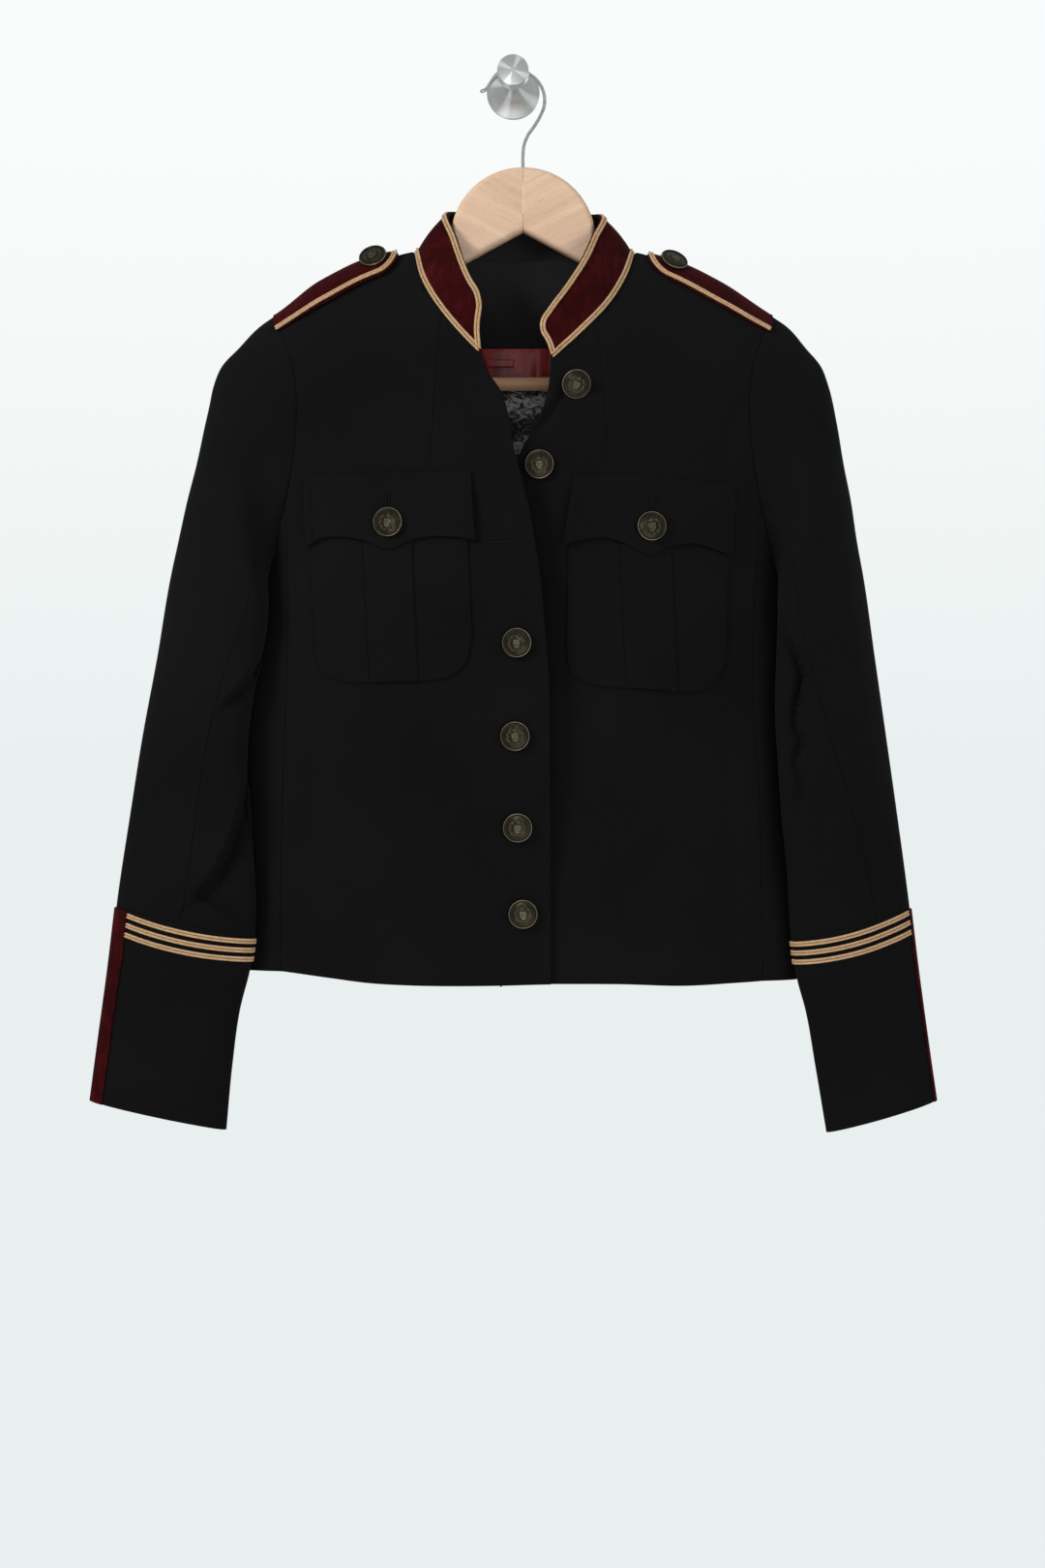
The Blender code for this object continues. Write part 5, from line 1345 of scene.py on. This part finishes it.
def strap_line(inset, count):
    """The strap's outline set in by inset: front edge from the armhole, round the tip, back edge."""
    turn = np.radians(np.linspace(-90, 90, count))
    tip_x = STRAP_TIP_X + inset + (STRAP_ROUND - inset) * (1 - np.cos(turn))
    across = (strap_half(turn) - inset) * np.sin(turn)
    ends = np.linspace(1, 0, 40)[:-1]
    straight = STRAP_TIP_X + STRAP_ROUND
    front = [(straight + (strap_end_x(across[0]) - straight) * f, across[0]) for f in ends]
    back = [(straight + (strap_end_x(across[-1]) - straight) * f, across[-1]) for f in ends[::-1]]
    return np.array(front + list(zip(tip_x, across)) + back)


def strap_normals(side, x, across):
    step = 1.0
    ahead = over_shoulder(side, x, across + step) - over_shoulder(side, x, across - step)
    beside = over_shoulder(side, x + step, across) - over_shoulder(side, x - step, across)
    normal = unit(np.cross(beside, ahead)) * side
    return normal * np.where(normal[..., 2:] < 0, -1, 1)


def make_epaulettes():
    for side, word in SIDES.items():
        grid, rise = strap_grid(side)
        strap = moved_out(grid, (VELVET + STRAP_OUT + rise)[..., None])
        strap = cloth(f"epaulette_{word}", "velvet", strap, "velvet", VELVET, soft=0.55)
        inset = BRAID_INSET + STRAP_BRAID / 2
        x, across = strap_line(inset, 41).T
        across = widened(side, x, across)
        normals = strap_normals(side, x, across)
        out = VELVET + STRAP_OUT + padding(side, x, inset)
        path = over_shoulder(side, x, across) + normals * out[:, None]
        cords(f"epaulette_braid_{word}", path, normals, STRAP_BRAID)


# --- pockets ---------------------------------------------------------------------------------------------


def lie_between(side, top, low, down, out):
    """A grid on a front between two rows of (x, z) points, moved out from it. down is the fraction of each row."""
    down = np.asarray(down)[:, None, None]
    flat = top[None] * (1 - down) + low[None] * down
    return on_front(side, flat[..., 0], flat[..., 1], out)


PLEAT_SHADOW = 0.5  # how deep the cloth dips beside the pleat
POCKET_GAP, FLAP_GAP = 0.15, 0.2  # from the front's cloth


def pocket_grid(side):
    """A patch pocket whose box pleat stands proud between two folds."""
    shape = POCKET[side]
    at_fine = np.linspace(0, 1, 400)
    fine = resample(shape["low"], at_fine)
    tops_1, lows_1, tops_2, lows_2 = shape["pleat"]
    folds = [float(np.interp(low, fine[:, 0], at_fine)) for low in (lows_1, lows_2)]
    close = np.array([-0.02, -0.014, -0.009, -0.005, -0.002, 0.002, 0.005, 0.009, 0.014, 0.02])
    at = np.concatenate([np.linspace(0, 1, 61), folds[0] + close, folds[1] + close])
    keep = np.array([min(abs(a - fold) for fold in folds) > 0.021 or k >= 61 for k, a in enumerate(at)])
    at = np.sort(at[keep])
    top_x = np.interp(at, [0, *folds, 1], [shape["top"][0][0], tops_1, tops_2, shape["top"][1][0]])
    top_z = np.interp(top_x, [p[0] for p in shape["top"]], [p[1] for p in shape["top"]])
    top, low = np.stack([top_x, top_z], axis=1), resample(shape["low"], at)
    down = np.linspace(0, 1, 36)
    x = top[None, :, 0] * (1 - down[:, None]) + low[None, :, 0] * down[:, None]
    fold_1 = tops_1 + (lows_1 - tops_1) * down[:, None]
    fold_2 = tops_2 + (lows_2 - tops_2) * down[:, None]
    inside = np.minimum(x - fold_1, fold_2 - x)
    out = POCKET_CLOTH + POCKET_GAP + PLEAT_RISE * smoothstep((inside + 0.3) / 0.9)
    out = out - PLEAT_SHADOW * np.exp(-(((inside + 0.9) / 0.7) ** 2)) + 0.25 * smoothstep(inside / 16)
    return lie_between(side, top, low, down, out)


def flap_grid(side):
    """A flap that starts against the front's cloth and lies over the pocket lower down."""
    shape = FLAP[side]
    low = resample(shape["low"], np.linspace(0, 1, 90))
    at = (low[:, 0] - low[0, 0]) / (low[-1, 0] - low[0, 0])
    start, end = np.array(shape["top"], float)
    top = start + (end - start) * at[:, None]
    down = np.linspace(0, 1, 30)
    out = FLAP_CLOTH + FLAP_GAP + (FLAP_OUT - FLAP_CLOTH - FLAP_GAP) * smoothstep(down / 0.45)
    return lie_between(side, top, low, down, out[:, None] + 0 * at)


def along_edge(grid, inset):
    """A path set in from a grid's left, lower and right edges, with its normals."""
    normals = grid_normals(grid)
    edge = np.concatenate([grid[:, 0], grid[-1, 1:-1], grid[::-1, -1]])
    up = np.concatenate([normals[:, 0], normals[-1, 1:-1], normals[::-1, -1]])
    heading = unit(np.gradient(edge, axis=0))
    inward = unit(np.cross(up, heading))
    return edge + inward * inset, up


POCKET_STITCH, FLAP_STITCH, FLAP_STITCH_ROW = 2.4, 6.0, 4  # the stitches' distance in from the edges


def make_pockets():
    for side, word in SIDES.items():
        grid = pocket_grid(side)
        pocket = cloth(f"pocket_{word}", "cloth", grid, thickness=POCKET_CLOTH)
        stitching(f"pocket_{word}", along_edge(grid, POCKET_STITCH))
        grid = flap_grid(side)
        flap = cloth(f"pocket_flap_{word}", "cloth", grid, thickness=FLAP_CLOTH, soft=0.6)
        top = (grid[FLAP_STITCH_ROW], grid_normals(grid)[FLAP_STITCH_ROW])
        stitching(f"pocket_flap_{word}", top, along_edge(grid, FLAP_STITCH))


# --- buttons -----------------------------------------------------------------------------------------------


def bump_at(x, y, centre, half, angle=0.0, power=2.0):
    """A soft raised oval: 1 in its middle and 0 outside it."""
    dx, dy = x - centre[0], y - centre[1]
    a, b = dx * math.cos(angle) + dy * math.sin(angle), dy * math.cos(angle) - dx * math.sin(angle)
    return np.exp(-((np.abs(a) / half[0]) ** power + (np.abs(b) / half[1]) ** power))


def crest(x, y):
    """A generic relief for the buttons: a plain shield with two bars, a sprig on each side and a bead above."""
    taper = 3.0 - 0.9 * smoothstep((-y - 0.5) / 3.6)
    shield = 0.6 * smoothstep((taper - np.abs(x)) / 0.6) * smoothstep((y + 4.4 - 0.22 * x * x) / 0.6)
    shield = shield * smoothstep((2.4 - y) / 0.6)
    field = smoothstep((taper - 0.9 - np.abs(x)) / 0.4) * smoothstep((1.5 - y) / 0.4) * smoothstep((y + 3.2) / 0.4)
    shield = shield - 0.28 * field + 0.3 * field * np.exp(-(((y - 0.5 * np.abs(x) + 1.1) / 0.45) ** 2))
    sprigs = 0.0
    for hand in (-1, 1):
        for k in range(7):
            angle = math.radians(-70 + 20 * k)
            centre = (hand * 6.2 * math.cos(angle), 6.2 * math.sin(angle) - 0.3)
            lean = math.atan2(math.cos(angle), -hand * math.sin(angle)) + hand * (0.5 if k % 2 else -0.5)
            sprigs = sprigs + 0.42 * bump_at(x, y, centre, (1.25, 0.55), lean)
    bead = 0.55 * bump_at(x, y, (0, 4.6), (0.95, 0.95), 0, 3) + 0.4 * bump_at(x, y, (0, 6.2), (0.5, 0.9))
    bead = bead + 0.35 * (bump_at(x, y, (-1.7, 4.5), (0.8, 0.4), 0.5) + bump_at(x, y, (1.7, 4.5), (0.8, 0.4), -0.5))
    return shield + sprigs + bead


BUTTON_SIDES = 108


@functools.lru_cache
def button_shape():
    """Points, faces and relief of a button: a domed face with a crest, inside a raised and beaded rim. The relief
    values make the crest pale, as rubbed brass, and paint a highlight in a thin ring round the rim.
    """
    rim = [9.5, 9.75, 10.0, 10.3, 10.6, 10.85, 11.05, 11.2, 11.2, 11.0, 10.4]
    rim_high = [2.0, 2.25, 2.5, 2.62, 2.6, 2.45, 2.2, 1.8, 0.7, 0.2, 0.0]
    radii = np.concatenate([np.linspace(0.25, 9.2, 34), rim])
    angle = full_turn(BUTTON_SIDES)
    heights = np.where(radii < 9.3, BUTTON_DOME - 1.5 * (radii / 9.3) ** 2, 0)
    heights[-len(rim):] = rim_high
    x, y = radii[:, None] * np.cos(angle), radii[:, None] * np.sin(angle)
    relief = crest(x, y) * (radii < 9.0)[:, None]
    beads = 0.16 * np.cos(BUTTON_SIDES // 2 * angle)[None, :] * np.exp(-(((radii - 8.9) / 0.4) ** 2))[:, None]
    z = heights[:, None] + relief + beads
    # Paler on the raised crest, as rubbed brass, and a painted highlight in a thin bright ring on the rim's outer
    # slope.
    crest_wear_and_rim_highlight = 0.5 * np.clip(relief / 0.6, 0, 1) + np.exp(-(((radii - 10.75) / 0.3) ** 2))[:, None] * 0.85
    crest_wear_and_rim_highlight = np.clip(crest_wear_and_rim_highlight + 0.12, 0, 1)
    points = np.stack([x, y, z], axis=-1).reshape(-1, 3)
    points = np.vstack([points, [0, 0, BUTTON_DOME + crest(np.zeros(1), np.zeros(1))[0]], [0, 0, 0]])
    sides = len(angle)
    faces = [tuple(face) for face in grid_faces(len(radii), sides, 0, False, True)]
    top, under, last = len(points) - 2, len(points) - 1, (len(radii) - 1) * sides
    for k in range(sides):
        after = (k + 1) % sides
        faces += [(top, k, after), (under, last + after, last + k)]
    return points, faces, np.concatenate([crest_wear_and_rim_highlight.ravel(), [0.6, 0.1]])


def make_button(node, place, normal, spin):
    """A button whose back is at place, turned by spin degrees about its normal."""
    points, faces, relief = button_shape()
    upright = unit(np.array([0, 0, 1.0]) - normal * normal[2])
    across = np.cross(upright, normal)
    turn = math.radians(spin)
    side = across * math.cos(turn) + upright * math.sin(turn)
    up = upright * math.cos(turn) - across * math.sin(turn)
    points = points * BUTTON_SCALE
    moved = place + points[:, :1] * side + points[:, 1:2] * up + points[:, 2:] * normal
    return piece(f"{node}_relief", moved, faces, "brass", node, attribute=relief)


def buttonhole(name, place, normal, heading):
    """A worked buttonhole: a flat ring of thread round a slit."""
    side = unit(np.cross(normal, heading))
    heading = np.cross(side, normal)
    half, wide = HOLE_LENGTH / 2 - HOLE_WIDE, HOLE_WIDE
    turn = np.radians(np.linspace(-90, 90, 9))
    loop = [(half + wide * math.cos(a), wide * math.sin(a)) for a in turn]
    loop += [(-half - wide * math.cos(a), -wide * math.sin(a)) for a in turn]
    loop = np.array(loop)
    path = place + loop[:, :1] * heading + loop[:, 1:] * side + normal * 0.15
    even, run = stations(np.vstack([path, path[:1]]), 0.45)
    even, run = even[:-1], run[:-1]
    rib = 0.5 * (0.85 + 0.15 * np.cos(2 * np.pi * run / 0.9))
    radius = rib[:, None] * np.ones((1, 8))
    points, faces, _ = tube(even, radius, np.broadcast_to(normal, even.shape), 8, closed=True)
    return piece(name, points, faces, "stitch")


def front_normal(side, x, z):
    return unit(on_front(side, x, z, 1.0) - on_front(side, x, z))


def make_buttons():
    for number, (side, x, z) in enumerate(FRONT_BUTTONS, 1):
        normal = unit(front_normal(side, x, z) + BUTTON_TURN.get(number, 0))
        x, z = np.array([x, z]) + BUTTON_SHIFT.get(number, 0)
        place = on_front(side, x, z) + normal * (BUTTON_OUT[number - 1] - BUTTON_SINK)
        make_button(f"button_front_{number}", place, normal, BUTTON_SPIN[number - 1])
    holes = [(x - HOLE_BEYOND, z) for side, x, z in FRONT_BUTTONS if side == RIGHT] + SPARE_HOLES
    for number, (x, z) in enumerate(holes, 1):
        normal = front_normal(RIGHT, x, z)
        buttonhole(f"buttonhole_front_{number}", on_front(RIGHT, x, z), normal, np.array([1.0, 0, 0]))
    for side, (x, z) in FLAP_BUTTONS.items():
        normal = front_normal(side, x, z)
        place = on_front(side, x, z) + normal * (FLAP_OUT + BUTTON_ON_FLAP)
        make_button(f"button_flap_{SIDES[side]}", place, normal, 7 * side)
        above = on_front(side, x + 0.5 * side, z + HOLE_ABOVE) + normal * (FLAP_OUT + 0.05)
        buttonhole(f"buttonhole_flap_{SIDES[side]}", above, normal, np.array([0, 0, 1.0]))
    for side, x in STRAP_BUTTON_X.items():
        at, across = np.array([x]), np.array([STRAP_BUTTON_ACROSS])
        normal = strap_normals(side, at, across)[0]
        place = over_shoulder(side, at, across)[0] + normal * (VELVET + BUTTON_ON_STRAP + STRAP_PAD[side])
        normal = unit(normal + STRAP_BUTTON_TILT[side])
        make_button(f"button_epaulette_{SIDES[side]}", place, normal, 15 * side)


# --- inside the neck ---------------------------------------------------------------------------------------


def inside_patch(left_edge, right_edge, rows, columns, depth, folds=()):
    """A grid inside the back between two edges, each a list of (z, x) from top to bottom."""
    down = np.linspace(0, 1, rows + 1)
    left = resample([(x, z) for z, x in left_edge], down)
    right = resample([(x, z) for z, x in right_edge], down)
    across = np.linspace(0, 1, columns + 1)[None, :, None]
    flat = left[:, None] * (1 - across) + right[:, None] * across
    x, z = flat[..., 0], flat[..., 1]
    out = depth + (troughs(x, z, folds) if folds else 0)
    grid = on_back(x, z)
    grid[..., 1] -= out
    return grid[:, ::-1]


def mirrored(edge):
    return [(z, -x) for z, x in edge]


def upright_patch(box, rows, columns, depth, folds=()):
    """A patch between two upright edges: box is its low and high x, its top and its lower z."""
    x_low, x_high, top, low = box
    return inside_patch([(top, x_low), (low, x_low)], [(top, x_high), (low, x_high)], rows, columns, depth, folds)


FACING_GAP, LINING_GAP, LABEL_GAP, LOOP_GAP = 1.2, 0.2, 0.9, 1.6  # from each layer to the one it lies on
LOOP_CLOTH = 1.4


def make_neck_inside():
    """The facing, the lining with its hang loop, and the label, inside the back of the neck."""
    depth = CLOTH + FACING_GAP
    facing = inside_patch(FACING_EDGE, mirrored(FACING_EDGE), 30, 60, depth)
    # The facing takes the paler twill copy: painted light over its shade.
    cloth("back_neck_facing", "cloth", facing, "inside", LINING)
    lining = inside_patch(LINING_EDGE, mirrored(LINING_EDGE), 110, 84, depth + LINING_GAP, LINING_FOLDS)
    lining = cloth("back_lining", "satin", lining, "satin", LINING)
    depth += LINING + LABEL_GAP
    label = cloth("neck_label", "woven", upright_patch(LABEL, 44, 60, depth, LINING_FOLDS), "label", LINING)
    loop = cloth("hang_loop", "satin", upright_patch(LOOP, 6, 24, depth + LOOP_GAP), "satin", LOOP_CLOTH, soft=0.6)


# --- hanger and peg ------------------------------------------------------------------------------------------


def round_point(centre, radius, degrees):
    turn = math.radians(degrees)
    return centre[0] + radius * math.cos(turn), centre[1] + radius * math.sin(turn)


def hanger_outline():
    """(x, z) round one half of the hanger, from the mitre's top, over the neck and out to the arm's end and back."""
    neck = [round_point((0, NECK_CENTRE_Z), NECK_RADIUS, 90 - a) for a in range(9, 83, 9)]
    arm = [(x, float(shoulder_z(x)) - HANGER_CLEAR - 2.5 * float(smoothstep((x - 130) / 50)))
           for x in (84, 100, 122, 146, 169, 186)]
    start = (0, NECK_CENTRE_Z + NECK_RADIUS)
    top = resample([start] + neck + HANGER_FILLET + arm + HANGER_END, np.linspace(0, 1, 150))
    top[0] = start
    low = resample(HANGER_LOW[:-1], np.linspace(0, 1, 90))
    straight = low[-1] + (np.array(HANGER_LOW[-1]) - low[-1]) * np.linspace(0, 1, 12)[1:, None]
    return np.vstack([top, low, straight])


def set_in(outline, inset):
    """The outline drawn in by inset, except along the mitre at x = 0."""
    before, after = np.roll(outline, 1, axis=0), np.roll(outline, -1, axis=0)
    edge_in, edge_out = unit(outline - before), unit(after - outline)
    normal = unit(np.stack([(edge_in + edge_out)[:, 1], -(edge_in + edge_out)[:, 0]], axis=1))
    normal[outline[:, 0] < 0.01] = [[0, -1], [0, 1]]
    return outline + normal * inset


def make_hanger():
    outline = hanger_outline()
    layers = []
    for turn in np.radians(np.linspace(0, 90, 8)):
        layers.append((-HANGER_THICK / 2 + HANGER_ROUND * (1 - math.cos(turn)), HANGER_ROUND * (1 - math.sin(turn))))
    layers += [(-y, sink) for y, sink in layers[::-1]]
    for side, word in SIDES.items():
        points = []
        for y, sink in layers:
            flat = set_in(outline, sink) * [side, 1] + [side * 0.1, 0]
            points.append(np.stack([flat[:, 0], np.full(len(flat), HANGER_Y + y), flat[:, 1]], axis=1))
        count = len(outline)
        total = count * len(layers)
        order = 1 if side == RIGHT else -1
        faces = [tuple(range(count))[::-order], tuple(range(total - 1, total - 1 - count, -1))[::-order]]
        for layer in range(len(layers) - 1):
            for k in range(count):
                a, b = layer * count + k, layer * count + (k + 1) % count
                faces.append((a, b, b + count, a + count)[::-order])
        name = f"hanger_arm_{word}"
        arm = piece(f"{name}_wood", np.concatenate(points), faces, f"beech_{word}", name)
        arm.data.set_sharp_from_angle(angle=SHARP_WOOD)
    make_bar()


def ring_solid(profile, sides, origin, axis):
    """A solid turned about a line: profile is (radius, height) pairs, with radius 0 at both ends."""
    axis = np.array(axis, float)
    first = unit(np.cross(axis, [0, 0, 1.0] if abs(axis[2]) < 0.9 else [1.0, 0, 0]))
    second = np.cross(axis, first)
    angle = full_turn(sides)
    ring = np.cos(angle)[:, None] * first + np.sin(angle)[:, None] * second
    points = [np.array(origin) + axis * profile[0][1]]
    for radius, height in profile[1:-1]:
        points += list(np.array(origin) + axis * height + ring * radius)
    points.append(np.array(origin) + axis * profile[-1][1])
    faces = []
    rings = len(profile) - 2
    for k in range(sides):
        after = (k + 1) % sides
        faces.append((0, 1 + after, 1 + k))
        for number in range(rings - 1):
            low, high = 1 + number * sides, 1 + (number + 1) * sides
            faces.append((low + k, low + after, high + after, high + k))
        last = 1 + (rings - 1) * sides
        faces.append((last + k, last + after, len(points) - 1))
    return np.array(points), faces


def make_bar():
    inner = BAR_RADIUS - BAR_BEVEL
    bar = [(0, -BAR_HALF), (inner, -BAR_HALF), (BAR_RADIUS, BAR_BEVEL - BAR_HALF),
           (BAR_RADIUS, BAR_HALF - BAR_BEVEL), (inner, BAR_HALF), (0, BAR_HALF)]
    solid = ring_solid(bar, BAR_SIDES, (0, HANGER_Y, BAR_Z), (1, 0, 0))
    rod = piece("hanger_bar_wood", *solid, "beech_bar", "hanger_bar")
    rod.data.set_sharp_from_angle(angle=SHARP_WOOD)


def make_hook():
    """Bent wire over the peg, with a rounded tip."""
    arc = [round_point(HOOK_CENTRE, HOOK_BEND, a) for a in range(150, -31, -15)]
    route = resample(HOOK_START + arc + HOOK_SHANK, np.linspace(0, 1, 170))
    path = np.stack([route[:, 0], np.full(len(route), HANGER_Y), route[:, 1]], axis=1)
    run = lengths(path) * steps_of(path).sum()
    tip = np.sqrt(np.clip(1 - (1 - np.clip(run / HOOK_TIP, 0, 1)) ** 2, 0.05, 1))
    radius = WIRE_RADIUS * (tip + 0.18 * np.exp(-(((run - 2.6) / 1.6) ** 2)))
    normals = np.broadcast_to(np.array([0, -1.0, 0]), path.shape)
    points, faces, _ = tube(path, radius[:, None] * np.ones((1, WIRE_SIDES)), normals, WIRE_SIDES)
    piece("hanger_hook_wire", points, faces, "wire", "hanger_hook")


def make_peg():
    solid = ring_solid(PEG_PROFILE, PEG_SIDES, (-CENTRE_X, 0, 0), (0, -1, 0))
    peg = piece("wall_peg_steel", *solid, "steel", "wall_peg")
    peg.data.set_sharp_from_angle(angle=SHARP_STEEL)


# --- stage ---------------------------------------------------------------------------------------------


CAMERA_AT = (0.0071, -1.6, -0.5306)
LENS = 47.8
FLOOR_Z, FLOOR_RADIUS, FLOOR_SIDES = -1.95, 1.9, 96


def make_camera():
    data = bpy.data.cameras.new("camera")
    data.lens = LENS
    data.sensor_width = 36.0
    camera = bpy.data.objects.new("camera", data)
    camera.location = CAMERA_AT
    camera.rotation_euler = (math.radians(90), 0, 0)
    bpy.context.scene.collection.objects.link(camera)
    bpy.context.scene.camera = camera


def make_floor():
    turn = full_turn(FLOOR_SIDES)
    rim = np.stack([FLOOR_RADIUS * np.cos(turn), FLOOR_RADIUS * np.sin(turn), np.full(FLOOR_SIDES, FLOOR_Z)], axis=1)
    mesh = bpy.data.meshes.new("floor")
    mesh.from_pydata([tuple(p) for p in rim], [], [tuple(range(FLOOR_SIDES))])
    look = Look("pale_floor", 0.85)
    look.colour(look.ramp(look.noise(3.0), (0.3, (0.74, 0.76, 0.76)), (0.7, (0.8, 0.81, 0.81))))
    mesh.materials.append(look.material)
    floor = bpy.data.objects.new("floor", mesh)
    bpy.context.scene.collection.objects.link(floor)


# Each light's name, place in metres, size and power.
LIGHTS = [("key", (-1.9, -1.2, 0.8), 0.8, 56.0), ("fill", (1.9, -1.7, -0.3), 1.6, 28.0),
          ("low", (0.2, -1.9, -1.5), 1.4, 9.0), ("back", (0.4, 1.9, 0.7), 1.4, 12.0),
          ("glint", (-0.25, -1.75, -0.1), 0.22, 3.2)]
UNMIRRORED = ("key", "fill")  # too bright to show in the metal
SKY_LIGHT = 0.29  # of the backdrop, on cloth and wood
SKY_MIRRORED = 0.58  # of the backdrop, in the metal
WALL_TOP, WALL_LOW = (0.955, 0.975, 0.965), (0.815, 0.865, 0.865)


def make_lights():
    for name, place, size, power in LIGHTS:
        data = bpy.data.lights.new(name, "AREA")
        data.size = size
        data.energy = power
        light = bpy.data.objects.new(name, data)
        light.visible_glossy = name not in UNMIRRORED
        light.visible_diffuse = name != "glint"
        light.location = place
        aim = Vector((0, 0, -0.4)) - Vector(place)
        light.rotation_euler = aim.to_track_quat("-Z", "Y").to_euler()
        bpy.context.scene.collection.objects.link(light)


def make_world():
    """A pale backdrop, brighter above, that lights the object only softly."""
    world = bpy.data.worlds.new("pale_studio")
    world.use_nodes = True
    tree = world.node_tree
    back = tree.nodes["Background"]
    apart = tree.nodes.new("ShaderNodeSeparateXYZ")
    place = tree.nodes.new("ShaderNodeTexCoord")
    tree.links.new(place.outputs["Generated"], apart.inputs[0])
    height = tree.nodes.new("ShaderNodeMapRange")
    height.inputs["From Min"].default_value = 0.0
    height.inputs["From Max"].default_value = 0.3
    tree.links.new(apart.outputs["Z"], height.inputs["Value"])
    ramp = tree.nodes.new("ShaderNodeValToRGB")
    ramp.color_ramp.elements[0].color = (*WALL_LOW, 1)
    ramp.color_ramp.elements[1].color = (*WALL_TOP, 1)
    tree.links.new(height.outputs[0], ramp.inputs[0])
    tree.links.new(ramp.outputs[0], back.inputs["Color"])
    seen = tree.nodes.new("ShaderNodeLightPath")
    full = 1.0
    for ray, level in (("Is Diffuse Ray", SKY_LIGHT), ("Is Glossy Ray", SKY_MIRRORED)):
        power = tree.nodes.new("ShaderNodeMapRange")
        power.inputs["To Max"].default_value = level
        if isinstance(full, float):
            power.inputs["To Min"].default_value = full
        else:
            tree.links.new(full, power.inputs["To Min"])
        tree.links.new(seen.outputs[ray], power.inputs["Value"])
        full = power.outputs[0]
    tree.links.new(full, back.inputs["Strength"])
    bpy.context.scene.world = world
    bpy.context.scene.view_settings.view_transform = "Standard"


make_camera()
make_body()
make_sleeves()
make_collar()
make_epaulettes()
make_pockets()
make_buttons()
make_neck_inside()
make_hanger()
make_hook()
make_peg()
make_floor()
make_lights()
make_world()

bpy.context.view_layer.update()
